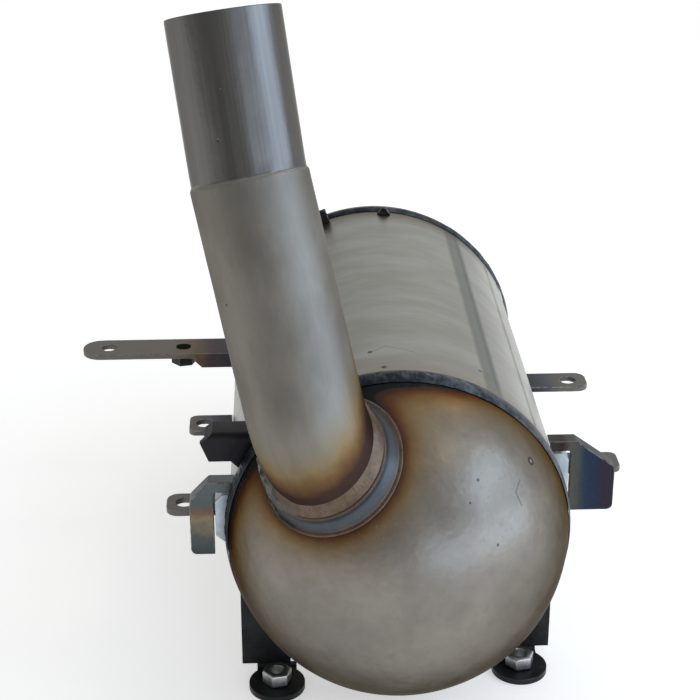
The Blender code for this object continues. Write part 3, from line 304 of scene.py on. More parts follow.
class Graph:
    """Short forms for the nodes of one tree."""

    def __init__(self, tree):
        self.tree = tree

    def node(self, kind, **settings):
        node = self.tree.nodes.new("ShaderNode" + kind)
        for name, value in settings.items():
            setattr(node, name, value)
        return node

    def put(self, socket, value):
        if isinstance(value, bpy.types.NodeSocket):
            self.tree.links.new(value, socket)
        elif isinstance(value, (tuple, Vector)) and len(value) == 3 and socket.type == "RGBA":
            socket.default_value = (*value, 1.0)
        else:
            socket.default_value = value

    def fill(self, node, **values):
        """Set or link inputs by name, where an underscore stands for a space."""
        for name, value in values.items():
            self.put(node.inputs[name.replace("_", " ")], value)
        return node

    def math(self, operation, first, second=0.0, clamp=False):
        node = self.node("Math", operation=operation, use_clamp=clamp)
        self.put(node.inputs[0], first)
        self.put(node.inputs[1], second)
        return node.outputs[0]

    def plus(self, first, second, clamp=False):
        return self.math("ADD", first, second, clamp)

    def minus(self, first, second):
        return self.math("SUBTRACT", first, second)

    def times(self, first, second):
        return self.math("MULTIPLY", first, second)

    def most(self, first, second):
        return self.math("MAXIMUM", first, second)

    def scaled(self, value, low, high):
        """A 0 to 1 value spread between two limits."""
        return self.plus(self.times(value, high - low), low)

    def window(self, value, low, high):
        """0 below low, 1 above high, smooth between; high may be the lower one."""
        node = self.node("MapRange", interpolation_type="SMOOTHSTEP")
        start, end = (1.0, 0.0) if high < low else (0.0, 1.0)
        self.fill(node, Value=value, From_Min=min(low, high), From_Max=max(low, high),
                  To_Min=start, To_Max=end)
        return node.outputs["Result"]

    def vector(self, operation, first, second=(0.0, 0.0, 0.0)):
        node = self.node("VectorMath", operation=operation)
        self.put(node.inputs[0], first)
        if operation not in ("LENGTH", "NORMALIZE"):
            self.put(node.inputs[1], second)
        return node.outputs["Value" if operation in ("LENGTH", "DOT_PRODUCT") else "Vector"]

    def dot(self, first, second):
        return self.vector("DOT_PRODUCT", first, tuple(second))

    def unit(self, vector):
        return self.vector("NORMALIZE", vector)

    def parts(self, vector):
        node = self.node("SeparateXYZ")
        self.put(node.inputs[0], vector)
        return tuple(node.outputs)

    def tone(self, colour, amount):
        """The colour, or any vector, scaled by an amount."""
        node = self.node("VectorMath", operation="SCALE")
        self.put(node.inputs[0], colour)
        self.put(node.inputs["Scale"], amount)
        return node.outputs["Vector"]

    def ramp(self, factor, stops):
        node = self.node("ValToRGB")
        band = node.color_ramp
        band.interpolation = "EASE" if len(stops) == 2 else "LINEAR"
        while len(band.elements) < len(stops):
            band.elements.new(0.5)
        for element, (position, colour) in zip(band.elements, stops):
            element.position = position
            element.color = (*colour, 1.0)
        return self.fill(node, Fac=factor).outputs["Color"]


class Finish(Graph):
    """A metal or ceramic; every coordinate is in metres on the part itself."""

    def __init__(self, name, metallic=1.0, roughness=0.4):
        self.material = bpy.data.materials.new(name)
        self.material.use_nodes = True
        super().__init__(self.material.node_tree)
        self.shader = self.tree.nodes["Principled BSDF"]
        self.fill(self.shader, Metallic=metallic, Roughness=roughness)
        self.place = self.node("TexCoord").outputs["Object"]

    def place_from(self, point):
        return self.vector("SUBTRACT", self.place, tuple(point))

    def noise(self, spacing, stretch=(1.0, 1.0, 1.0), detail=3.0, rough=0.55, place=None,
              twist=0.0):
        """Noise whose lumps lie the given distance apart, drawn out where stretch is above 1."""
        scale = tuple(1.0 / (spacing * s) for s in stretch)
        place = self.vector("MULTIPLY", place or self.place, scale)
        node = self.fill(self.node("TexNoise"), Scale=1.0, Detail=detail, Roughness=rough,
                         Distortion=twist, Vector=place)
        return node.outputs["Fac"]

    def grain(self, blotch, fine):
        """Broad blotches and a fine grain, from the distances between their lumps."""
        return self.noise(blotch, detail=4.0, rough=0.6), self.noise(fine, detail=3.0)

    def mix(self, factor, first, second, blend="MIX"):
        node = self.node("Mix", data_type="RGBA", blend_type=blend)
        colours = [socket for socket in node.inputs if socket.type == "RGBA"]
        self.put(node.inputs["Factor"], factor)
        self.put(colours[0], first)
        self.put(colours[1], second)
        return next(socket for socket in node.outputs if socket.type == "RGBA")

    def layer(self, under, colour, mask, share):
        """A colour laid over another where the mask is 1, at a share of its strength."""
        return self.mix(self.times(mask, share), under, colour)

    def bump(self, height, depth, under=None):
        node = self.fill(self.node("Bump"), Strength=1.0, Distance=depth, Height=height)
        if under is not None:
            self.put(node.inputs["Normal"], under)
        return node.outputs["Normal"]

    def specks(self, spacing, radius, share):
        """1 inside scattered round specks; share is how many of the cells hold one."""
        cells = self.fill(self.node("TexVoronoi"), Scale=1.0 / spacing, Vector=self.place)
        inside = self.window(cells.outputs["Distance"], radius / spacing, radius / spacing * 0.4)
        chosen = self.math("LESS_THAN", self.parts(cells.outputs["Color"])[0], share)
        return self.times(inside, chosen)

    def near(self, point, inner, outer):
        """1 within the inner distance of a point, 0 beyond the outer one."""
        return self.window(self.vector("LENGTH", self.place_from(point)), outer, inner)

    def along(self, first, second, width):
        """1 on a straight scratch between two points, fading at its sides."""
        run = Vector(second) - Vector(first)
        off = self.place_from(first)
        share = self.math("DIVIDE", self.dot(off, run), run.length_squared, True)
        gap = self.vector("LENGTH", self.vector("SUBTRACT", off, self.tone(run, share)))
        return self.window(gap, width, width * 0.3)

    def marks(self, spots, specks, scratches, width, share):
        """The spots, with specks and straight scratches at chosen places."""
        for point, size in specks:
            spots = self.most(spots, self.near(point, size * 0.5, size))
        for first, second in scratches:
            spots = self.most(spots, self.times(self.along(first, second, width), share))
        return spots

    def scratches(self, spacing, length, stretch_axis, low, high, twist):
        """1 along thin broken lines drawn out along one axis."""
        stretch = tuple(length / spacing if axis == stretch_axis else 1.0 for axis in range(3))
        lines = self.noise(spacing, stretch, detail=2.0, rough=0.6, twist=twist)
        return self.window(lines, low, high)

    def done(self, colour, roughness=None, normal=None):
        """The material, once its shader takes what was made."""
        for name, value in (("Base Color", colour), ("Roughness", roughness), ("Normal", normal)):
            if value is not None:
                self.put(self.shader.inputs[name], value)
        return self.material


# Marks of use and welding, in the frame of the solids
SHELL_SPECKS = [((0.0135, -0.0918, 0.1690), 0.0016), ((0.0191, -0.1108, 0.1697), 0.0018),
                ((0.0665, -0.0947, 0.1593), 0.0012)]
SHELL_SCRATCH = [((0.0145, -0.0921, 0.1692), (0.0210, -0.0868, 0.1698)),
                 ((0.0210, -0.0868, 0.1698), (0.0350, -0.0937, 0.1695))]
# Centre of a small dimple on the dome, whose shade and highlight are painted
DOME_PIP = (0.0849, -0.1463, 0.1372)
DOME_SCRATCH = [((0.0782, -0.1593, 0.1344), (0.0757, -0.1648, 0.1313)),
                ((0.0757, -0.1648, 0.1313), (0.0785, -0.1667, 0.1256))]
DOME_SPECKS = [((0.0534, -0.1781, 0.1336), 0.0009), ((0.0576, -0.1701, 0.1408), 0.0010),
               ((0.0661, -0.1822, 0.1142), 0.0009)]


def shell_finish():
    """Pale rolled sheet, brushed round the canister, with a painted reflection in a dark band along
    it, and painted light on its right flank and underside.
    """
    m = Finish("shell_steel")
    x, y, z = m.parts(m.place_from(ORIGIN))
    streaks = m.noise(0.0011, (28.0, 1.0, 28.0), detail=3.0)
    patches = m.noise(0.030, (1.4, 0.6, 1.4), detail=3.0)
    fine = m.noise(0.0022, (9.0, 1.0, 9.0), detail=2.0)
    colour = m.mix(m.window(patches, 0.35, 0.68), (0.285, 0.285, 0.254), (0.338, 0.340, 0.314))
    colour = m.tone(colour, m.scaled(streaks, 0.90, 1.10))
    light_streaks = m.times(m.window(fine, 0.60, 0.74), m.window(patches, 0.45, 0.6))
    colour = m.layer(colour, (0.44, 0.44, 0.42), light_streaks, 0.35)

    # Painted reflection: a dark band along the shell at a fixed angle, with a darker core; the band
    # is also made a little rougher
    angle = m.math("ARCTAN2", z, x)
    off_reflection_band = m.math("ABSOLUTE", m.minus(angle, REFLECTION_BAND_AT))
    wander = m.times(m.noise(0.05, detail=1.0), 0.012)
    band = m.window(m.plus(off_reflection_band, wander), 0.085, 0.045)
    colour = m.layer(colour, (0.170, 0.180, 0.165), band, 0.80)
    off_reflection_core = m.math("ABSOLUTE", m.minus(angle, REFLECTION_CORE_AT))
    reflection_core = m.window(m.plus(off_reflection_core, wander), 0.030, 0.008)
    colour = m.layer(colour, (0.115, 0.120, 0.110), reflection_core, 0.55)

    wave = m.times(m.noise(0.02, detail=2.0), 0.012)
    from_front = m.minus(y, wave)
    warm = m.window(from_front, 0.022, -0.004)
    colour = m.layer(colour, (0.235, 0.205, 0.150), warm, 0.55)
    from_rear = m.minus(SHELL_LENGTH, m.plus(y, wave))
    rear = m.window(from_rear, 0.016, 0.0)
    colour = m.layer(colour, (0.15, 0.12, 0.085), rear, 0.7)
    # Painted light: the sheet is made brighter below 34 degrees round from the right, on its right
    # flank and underside
    painted_light_flank = m.window(angle, radians(50), radians(34))
    painted_light_flank = m.times(painted_light_flank, m.scaled(streaks, 0.7, 1.0))
    colour = m.mix(painted_light_flank, colour, m.tone(colour, 1.35))
    spots = m.marks(m.specks(0.021, 0.0008, 0.16), SHELL_SPECKS, SHELL_SCRATCH,
                    width=0.0006, share=0.35)
    colour = m.mix(spots, colour, (0.05, 0.05, 0.05))
    roughness = m.plus(m.scaled(streaks, 0.30, 0.44), m.times(band, 0.10))
    return m.done(colour, roughness, m.bump(streaks, 0.00003, m.bump(patches, 0.0004)))


def heat_field(m):
    """Heat left in the dome by the seam weld and the collar weld: 0 cold, 1 at a weld."""
    local = m.place_from(DOME_CENTRE)
    unit = m.unit(local)
    arc = m.times(m.math("ARCCOSINE", m.dot(unit, OUTLET_AXIS)), DOME_RADIUS)
    collar_arc = DOME_RADIUS * asin(COLLAR_TOE_RADIUS / DOME_RADIUS)
    from_collar = m.most(m.minus(arc, collar_arc), 0.0)
    toe_y = BEAD_FRONT_Y - DOME_CENTRE_Y
    from_seam = m.most(m.minus(toe_y, m.parts(local)[1]), 0.0)
    seam_heat = m.math("EXPONENT", m.math("DIVIDE", from_seam, -SEAM_HEAT_REACH))
    collar_heat = m.math("EXPONENT", m.math("DIVIDE", from_collar, -COLLAR_HEAT_REACH))
    upward = m.window(m.dot(unit, (-0.62, 0.0, 0.78)), 0.20, 0.80)
    seam_heat = m.times(seam_heat, m.scaled(upward, SEAM_HEAT_LOW, SEAM_HEAT_HIGH))
    heat = m.plus(seam_heat, m.times(collar_heat, COLLAR_HEAT))
    blotch = m.scaled(m.noise(0.022, detail=4.0, rough=0.6), -0.16, 0.16)
    return m.plus(heat, m.times(blotch, m.scaled(heat, 0.35, 1.0)), clamp=True)


def dome_finish():
    """Drawn steel: warm grey, with straw to purple heat colours beside both welds, and painted
    shade on its left and bottom.
    """
    m = Finish("dome_steel")
    m.shader.inputs["Specular Tint"].default_value = (0.22, 0.20, 0.18, 1.0)
    patches = m.noise(0.035, detail=4.0, rough=0.6)
    mottle = m.noise(0.006, detail=4.0, rough=0.65)
    cold = m.mix(m.window(patches, 0.32, 0.70), (0.216, 0.200, 0.178), (0.268, 0.247, 0.216))
    cold = m.tone(cold, m.scaled(mottle, 0.86, 1.12))
    heat = heat_field(m)
    colour = m.ramp(heat, [
        (0.00, (0.5, 0.5, 0.5)), (0.14, (0.5, 0.46, 0.40)), (0.28, (0.50, 0.40, 0.27)),
        (0.44, (0.42, 0.28, 0.155)), (0.60, (0.30, 0.165, 0.090)), (0.78, (0.19, 0.095, 0.070)),
        (0.91, (0.12, 0.095, 0.115)), (1.00, (0.05, 0.060, 0.075))])
    tinted = m.mix(1.0, cold, m.tone(colour, 2.0), "MULTIPLY")
    local = m.place_from(DOME_CENTRE)
    _, y, z = m.parts(local)
    # Painted shade: darker toward the seam on the left and lower side, and under the bottom of the
    # dome
    shaded_side = m.window(m.dot(m.unit(local), (0.45, 0.0, 0.89)), 0.75, 0.25)
    rim = m.times(m.window(y, -0.062, -0.004), shaded_side)
    under = m.window(z, -0.050, -0.080)
    shade = m.most(m.times(rim, 0.52), m.times(under, 0.34))
    tinted = m.mix(shade, tinted, (0.056, 0.053, 0.049))
    stain = m.window(m.noise(0.014, (1.0, 1.0, 1.6), detail=4.0, rough=0.62), 0.56, 0.72)
    tinted = m.layer(tinted, (0.16, 0.125, 0.09), stain, 0.22)
    spots = m.marks(m.specks(0.017, 0.0009, 0.22), DOME_SPECKS, DOME_SCRATCH,
                    width=0.0007, share=0.6)
    # The pip: a dark disc and a light centre, painted shade and a painted highlight that stand for
    # a small dimple
    spots = m.most(spots, m.near(DOME_PIP, 0.0016, 0.0026))
    tinted = m.layer(tinted, (0.07, 0.06, 0.055), spots, 0.75)
    tinted = m.mix(m.near(DOME_PIP, 0.0006, 0.0011), tinted, (0.36, 0.35, 0.34))
    lines = m.scratches(0.0010, 0.030, stretch_axis=2, low=0.68, high=0.74, twist=1.2)
    tinted = m.layer(tinted, (0.36, 0.35, 0.33), lines, 0.14)
    roughness = m.plus(m.scaled(patches, 0.30, 0.42), m.times(heat, 0.05))
    normal = m.bump(mottle, 0.00004, m.bump(patches, 0.0008))
    return m.done(tinted, roughness, m.bump(m.times(m.plus(spots, lines), -1.0), 0.00008, normal))


def pipe_finish(shoulder_at):
    """Drawn tube: dark and bright where it was sized, duller below, gold to purple at its weld."""
    m = Finish("pipe_steel")
    m.shader.inputs["Specular Tint"].default_value = (0.55, 0.54, 0.52, 1.0)
    grain = m.node("Attribute", attribute_name="grain").outputs["Vector"]
    along = m.parts(grain)[2]
    drawn = m.noise(0.0016, (1.0, 1.0, 60.0), detail=3.0, place=grain)
    dull = m.noise(0.020, (1.0, 1.0, 2.2), detail=4.0, rough=0.6, place=grain)
    fine = m.noise(0.0035, (1.0, 1.0, 2.5), detail=4.0, rough=0.65, place=grain)
    edge = m.plus(along, m.scaled(m.noise(0.01, detail=2.0), -0.0006, 0.0006))
    sized = m.window(edge, shoulder_at - 0.0006, shoulder_at + 0.0006)
    step = m.times(m.window(edge, shoulder_at - 0.0016, shoulder_at - 0.0004),
                  m.window(edge, shoulder_at + 0.0014, shoulder_at + 0.0002))
    low_part = m.mix(m.window(dull, 0.34, 0.66), (0.212, 0.198, 0.174), (0.264, 0.248, 0.220))
    low_part = m.tone(low_part, m.scaled(fine, 0.84, 1.05))
    top_part = m.tone((0.150, 0.146, 0.142), m.scaled(drawn, 0.72, 1.24))
    smudge = m.times(m.window(along, shoulder_at - 0.030, shoulder_at - 0.004),
                    m.window(dull, 0.40, 0.60))
    low_part = m.layer(low_part, (0.13, 0.125, 0.118), smudge, 0.45)
    colour = m.mix(sized, low_part, top_part)
    colour = m.mix(m.times(step, m.scaled(fine, 0.2, 1.0)), colour, (0.34, 0.33, 0.31))

    rise = m.minus(m.dot(m.place_from(DOME_CENTRE), OUTLET_AXIS), COLLAR_TOP_REACH)
    rise = m.plus(rise, m.scaled(m.noise(0.012, detail=3.0), -0.004, 0.004))
    heat = m.math("DIVIDE", m.minus(rise, PIPE_BEAD_LEG + PIPE_HEAT_START), PIPE_HEAT_REACH, True)
    tint = m.ramp(heat, [
        (0.00, (0.13, 0.085, 0.080)), (0.14, (0.26, 0.155, 0.092)), (0.28, (0.37, 0.235, 0.125)),
        (0.48, (0.52, 0.41, 0.25)), (0.72, (0.51, 0.475, 0.41)), (1.00, (0.5, 0.5, 0.5))])
    colour = m.mix(1.0, colour, m.tone(tint, 2.0), "MULTIPLY")
    spots = m.specks(0.018, 0.0009, 0.14)
    colour = m.layer(colour, (0.06, 0.055, 0.05), spots, 0.7)
    roughness = m.mix(sized, m.scaled(dull, 0.42, 0.56), m.scaled(drawn, 0.20, 0.30))
    normal = m.bump(drawn, 0.00002, m.bump(dull, 0.0003))
    return m.done(colour, roughness, m.bump(m.times(spots, -1.0), 0.00012, normal))


def weld_finish(name, dark, light):
    """Oxidised weld: slate to blue, glossier in some blotches and duller in others."""
    m = Finish(name, metallic=0.9)
    blotch, fine = m.grain(0.006, 0.0012)
    colour = m.mix(m.window(blotch, 0.38, 0.66), dark, light)
    # Darker towards the left, lighter towards the right
    x = m.parts(m.place_from(ORIGIN))[0]
    colour = m.tone(colour, m.scaled(m.window(x, -0.030, 0.035), 0.42, 1.10))
    colour = m.tone(colour, m.scaled(fine, 0.75, 1.25))
    return m.done(colour, m.scaled(blotch, 0.36, 0.52), m.bump(fine, 0.00010))


def shaded_left(m, blotch, wander, low, high):
    """1 on the outlet's left, where shade is painted on its welds, with a wandering edge."""
    across = m.dot(m.unit(m.place_from(DOME_CENTRE)), (-1.0, 0.0, 0.0))
    return m.window(m.plus(across, m.scaled(blotch, -wander, wander)), low, high)


def collar_finish():
    """Collar: blue-grey oxide on its side, with painted shade toward the weld on its left."""
    m = Finish("collar_steel", metallic=0.95)
    rise = m.dot(m.place_from(DOME_CENTRE), OUTLET_AXIS)
    blotch, fine = m.grain(0.009, 0.0016)
    band = m.ramp(m.window(rise, COLLAR_TOP_REACH - 0.011, COLLAR_TOP_REACH), [
        (0.00, (0.150, 0.120, 0.085)), (0.16, (0.090, 0.085, 0.085)), (0.40, (0.080, 0.098, 0.115)),
        (0.75, (0.075, 0.088, 0.098)), (0.93, (0.030, 0.032, 0.036)), (1.00, (0.10, 0.075, 0.06))])
    band = m.tone(band, m.scaled(blotch, 0.65, 1.40))
    # Painted shade on the collar's left side
    painted_left_shade = shaded_left(m, blotch, 0.1, 0.52, 0.72)
    band = m.mix(painted_left_shade, band, m.tone((0.035, 0.043, 0.040), m.scaled(fine, 0.6, 1.5)))
    return m.done(band, m.scaled(blotch, 0.30, 0.46), m.bump(fine, 0.00006))


def straw_finish():
    """Weld between collar and pipe: straw and pink, with a purple line at the pipe, and painted
    shade on its left.
    """
    m = Finish("straw_weld", metallic=0.95)
    blotch, fine = m.grain(0.005, 0.0012)
    colour = m.ramp(blotch, [(0.25, (0.080, 0.050, 0.045)), (0.45, (0.125, 0.090, 0.062)),
                             (0.60, (0.150, 0.110, 0.085)), (0.78, (0.075, 0.062, 0.068))])
    # Painted shade on the weld's left side
    painted_left_shade = shaded_left(m, blotch, 0.12, 0.50, 0.66)
    colour = m.mix(painted_left_shade, colour, m.tone((0.040, 0.046, 0.042), m.scaled(fine, 0.6, 1.6)))
    return m.done(colour, m.scaled(blotch, 0.28, 0.44), m.bump(fine, 0.00008))


def bracket_finish(name, cold, warm_stops, reach, roughness=0.46):
    """Plate whose colour changes away from the shell, under blotchy mill scale."""
    m = Finish(name, metallic=0.85)
    flat = m.vector("MULTIPLY", m.place_from(ORIGIN), (1.0, 0.0, 1.0))
    away = m.minus(m.vector("LENGTH", flat), SHELL_RADIUS)
    blotch, fine = m.grain(0.008, 0.0013)
    drift = m.plus(away, m.scaled(blotch, -0.006, 0.006))
    tint = m.ramp(m.window(drift, 0.0, reach), warm_stops + [(1.0, cold)])
    colour = m.tone(tint, m.scaled(blotch, 0.75, 1.25))
    roughness = m.scaled(blotch, roughness - 0.08, roughness + 0.10)
    return m.done(colour, roughness, m.bump(fine, 0.00006, m.bump(blotch, 0.0002)))


def block_finish(name, stops, low, high, axis, spread):
    """Plate with bands of heat colour side by side along one axis."""
    m = Finish(name, metallic=0.9)
    stretch = (1.0, 1.0, 0.7) if axis == 2 else (0.6, 1.0, 3.0)
    blotch = m.noise(0.010, stretch, detail=4.0, rough=0.6)
    fine = m.noise(0.0014, detail=3.0)
    level = m.math("DIVIDE", m.minus(m.parts(m.place)[axis], low), high - low)
    level = m.plus(level, m.scaled(blotch, -spread, spread), clamp=True)
    colour = m.tone(m.ramp(level, stops), m.scaled(fine, 0.82, 1.18))
    normal = m.bump(fine, 0.00005, m.bump(blotch, 0.0002))
    return m.done(colour, m.scaled(blotch, 0.34, 0.50), normal)


def black_finish():
    """Burnt black plate, scuffed here and there."""
    m = Finish("dark_bracket", metallic=0.55)
    m.shader.inputs["Specular IOR Level"].default_value = 0.30
    blotch, fine = m.grain(0.012, 0.0015)
    colour = m.mix(m.window(blotch, 0.35, 0.68), (0.015, 0.016, 0.016), (0.030, 0.032, 0.033))
    scuffs = m.scratches(0.0012, 0.008, stretch_axis=0, low=0.64, high=0.72, twist=0.8)
    colour = m.layer(colour, (0.16, 0.16, 0.155), scuffs, 0.30)
    normal = m.bump(fine, 0.00007, m.bump(blotch, 0.0002))
    return m.done(colour, m.scaled(blotch, 0.36, 0.54), normal)


def edge_finish(name, plate, bare):
    """Cut edges of a plate, rubbed to bare metal here and there."""
    m = Finish(name, metallic=0.9)
    rubbed = m.window(m.noise(0.003, detail=4.0, rough=0.65), 0.38, 0.60)
    return m.done(m.mix(rubbed, plate, bare), m.scaled(rubbed, 0.50, 0.34))


def nut_finish():
    m = Finish("zinc_nut", metallic=1.0)
    blotch = m.noise(0.004, detail=3.0)
    colour = m.mix(m.window(blotch, 0.4, 0.7), (0.60, 0.61, 0.61), (0.40, 0.40, 0.39))
    normal = m.bump(m.noise(0.0008, detail=2.0), 0.00004)
    return m.done(colour, m.scaled(blotch, 0.26, 0.42), normal)


def ceramic_finish():
    """Honeycomb face: a fine square grid with every other channel plugged; the open channels are
    dark squares of painted shade.
    """
    m = Finish("ceramic", metallic=0.0, roughness=0.9)
    cell = 0.0018
    flat = m.vector("MULTIPLY", m.place, (1.0, 0.0, 1.0))
    # The dark squares are painted shade standing for the open channels
    grid = m.fill(m.node("TexChecker"), Scale=1.0 / cell, Vector=flat,
                  Color1=(0.30, 0.27, 0.23), Color2=(0.035, 0.032, 0.030))
    soot = m.noise(0.02, detail=3.0)
    return m.done(m.tone(grid.outputs["Color"], m.scaled(soot, 0.5, 1.3)))


def mat_finish():
    m = Finish("mat_fibre", metallic=0.0, roughness=0.95)
    fibres = m.noise(0.0007, (1.0, 6.0, 1.0), detail=3.0)
    colour = m.mix(fibres, (0.62, 0.60, 0.55), (0.80, 0.78, 0.73))
    return m.done(colour, None, m.bump(fibres, 0.0002))


# Canister


def canister_shell(material):
    """Rolled tube with its lap seam, slightly out of true as rolled sheet is."""
    half = LAP_WIDTH / 2 / SHELL_RADIUS
    angles = around(ROUND)
    for edge in (LAP_ANGLE - half, LAP_ANGLE + half):
        angles += [edge + LAP_STEP * share for share in (-0.75, -0.5, -0.25, 0.25, 0.5, 0.75)]
    angles = sorted(angles)
    rows = []
    for y in (SHELL_LENGTH * k / 64 for k in range(65)):
        from_end = min(y, SHELL_LENGTH - y)
        lift_y = smooth_step(LAP_SETBACK, LAP_SETBACK + LAP_RAMP, from_end)
        row = []
        for angle in angles:
            lift = smooth_step(half + LAP_STEP, half, abs(angle - LAP_ANGLE))
            if abs(angle - LAP_ANGLE) <= half:
                lift = 1.0
            reach = SHELL_RADIUS + LAP_SHOWN * lift * lift_y
            place = (reach * cos(angle), y, reach * sin(angle))
            reach -= abs(uneven(place, 0.055, 0.00022)) * smooth_step(0.0, 0.02, from_end)
            row.append(on_ring(reach, angle, y))
        rows.append(row)
    inner = SHELL_RADIUS - SHEET
    for y in (SHELL_LENGTH, 0.0):
        rows.append([on_ring(inner, angle, y) for angle in angles])
    return dress(ring_mesh("shell_skin", rows, material), "shell_steel", "canister_shell")


def front_dome(material):
    """Deep-drawn end. Its rows run from the outlet's hole out to the seam, so it has no pole."""
    rim_y = -SEAT_GAP - DOME_CENTRE_Y
    hole = PIPE_RADIUS + 2 * SEAT_GAP

    def skin(radius, rows):
        level = rim_y / radius
        grid = []
        for row in range(rows + 1):
            line = []
            for angle in around(ROUND):
                away = off_outlet(angle)
                reach = hypot(OUTLET_AXIS.y, away.y)
                start = asin(hole / radius)
                middle = atan2(away.y, OUTLET_AXIS.y)
                spread = acos(level / reach)
                end = min((middle + spread) % (2 * pi), (middle - spread) % (2 * pi))
                turn = start + (end - start) * row / rows
                unit = OUTLET_AXIS * cos(turn) + away * sin(turn)
                inward = abs(uneven(unit * radius, 0.05, 0.0003))
                inward *= smooth_step(0.0, 0.15, end - turn)
                line.append(DOME_CENTRE + unit * (radius - inward))
            grid.append(line)
        return grid

    rows = skin(DOME_RADIUS, 130) + list(reversed(skin(DOME_RADIUS - SHEET, 24)))
    return dress(ring_mesh("dome_skin", rows, material), "dome_steel", "front_dome")


def over_dome(y):
    """Radius of the dome at a depth, with the seat gap."""
    return sqrt(DOME_RADIUS ** 2 - (DOME_CENTRE_Y - y) ** 2) + SEAT_GAP


def on_shell(angle, y):
    return cos(angle) * SHELL_RADIUS, y, sin(angle) * SHELL_RADIUS


def ripple(angle, radius, pitch, depth):
    """Height of the half-moon ripples that a weld leaves along its run."""
    share = (angle * radius / pitch) % 1.0
    return depth * (sin(pi * share) - 0.6)


def front_weld(material):
    """Seam weld: lumpy where it was laid by hand at the upper left, smooth down the right."""
    steps = 14
    start = (over_dome(BEAD_FRONT_Y), BEAD_FRONT_Y)
    end = (over_dome(BEAD_REAR_Y), BEAD_REAR_Y)
    lines = []
    for angle in around(BEAD_ROUND):
        rough = smooth_step(0.25, 0.75, cos(angle - HAND_LAID_AT))
        column = [(over_dome(y), y) for y in (BEAD_REAR_Y, -SEAT_GAP / 2, BEAD_FRONT_Y / 2)]
        for step in range(steps):
            share = step / steps
            crown = sin(pi * share)
            place = on_shell(angle, share * 0.010)
            lump = uneven(place, 0.0045, 0.0007 * rough + 0.00012)
            lump += uneven(place, 0.0018, 0.0003 * rough, seed=5.0)
            wave = ripple(angle + 0.012 * crown, SHELL_RADIUS, pitch=0.0021, depth=0.00016)
            proud = BEAD_HEIGHT * (0.45 + 0.50 * rough)
            height = proud * crown ** 0.8 + (lump + wave * (0.4 + rough)) * crown
            radius = start[0] + (end[0] - start[0]) * share + max(height, 0.0)
            column.append((radius, start[1] + (end[1] - start[1]) * share))
        lines.append([on_ring(radius, angle, y) for radius, y in column])
    bead = ring_mesh("front_weld_skin", list(zip(*lines)), material)
    cutter = collar_room()
    cut = bead.modifiers.new("collar", "BOOLEAN")
    cut.operation = "DIFFERENCE"
    cut.object = cutter
    bpy.context.view_layer.update()
    graph = bpy.context.evaluated_depsgraph_get()
    trimmed = bpy.data.meshes.new_from_object(bead.evaluated_get(graph))
    bead.modifiers.clear()
    bead.data = trimmed
    bpy.data.objects.remove(cutter)
    return dress(bead, "weld_metal", "front_weld_bead")


def collar_room():
    """Cutter: the room that the collar and its weld take out of the seam weld."""
    radius = COLLAR_TOE_RADIUS + SEAT_GAP
    shape = bmesh.new()
    bmesh.ops.create_cone(shape, cap_ends=True, segments=96, radius1=radius, radius2=radius,
                          depth=DOME_RADIUS)
    mesh = bpy.data.meshes.new("collar_room")
    shape.to_mesh(mesh)
    shape.free()
    room = new_object("collar_room", mesh)
    turn = Vector((0.0, 0.0, 1.0)).rotation_difference(OUTLET_AXIS).to_matrix().to_4x4()
    room.matrix_world = Matrix.Translation(DOME_CENTRE + OUTLET_AXIS * DOME_RADIUS) @ turn
    return room


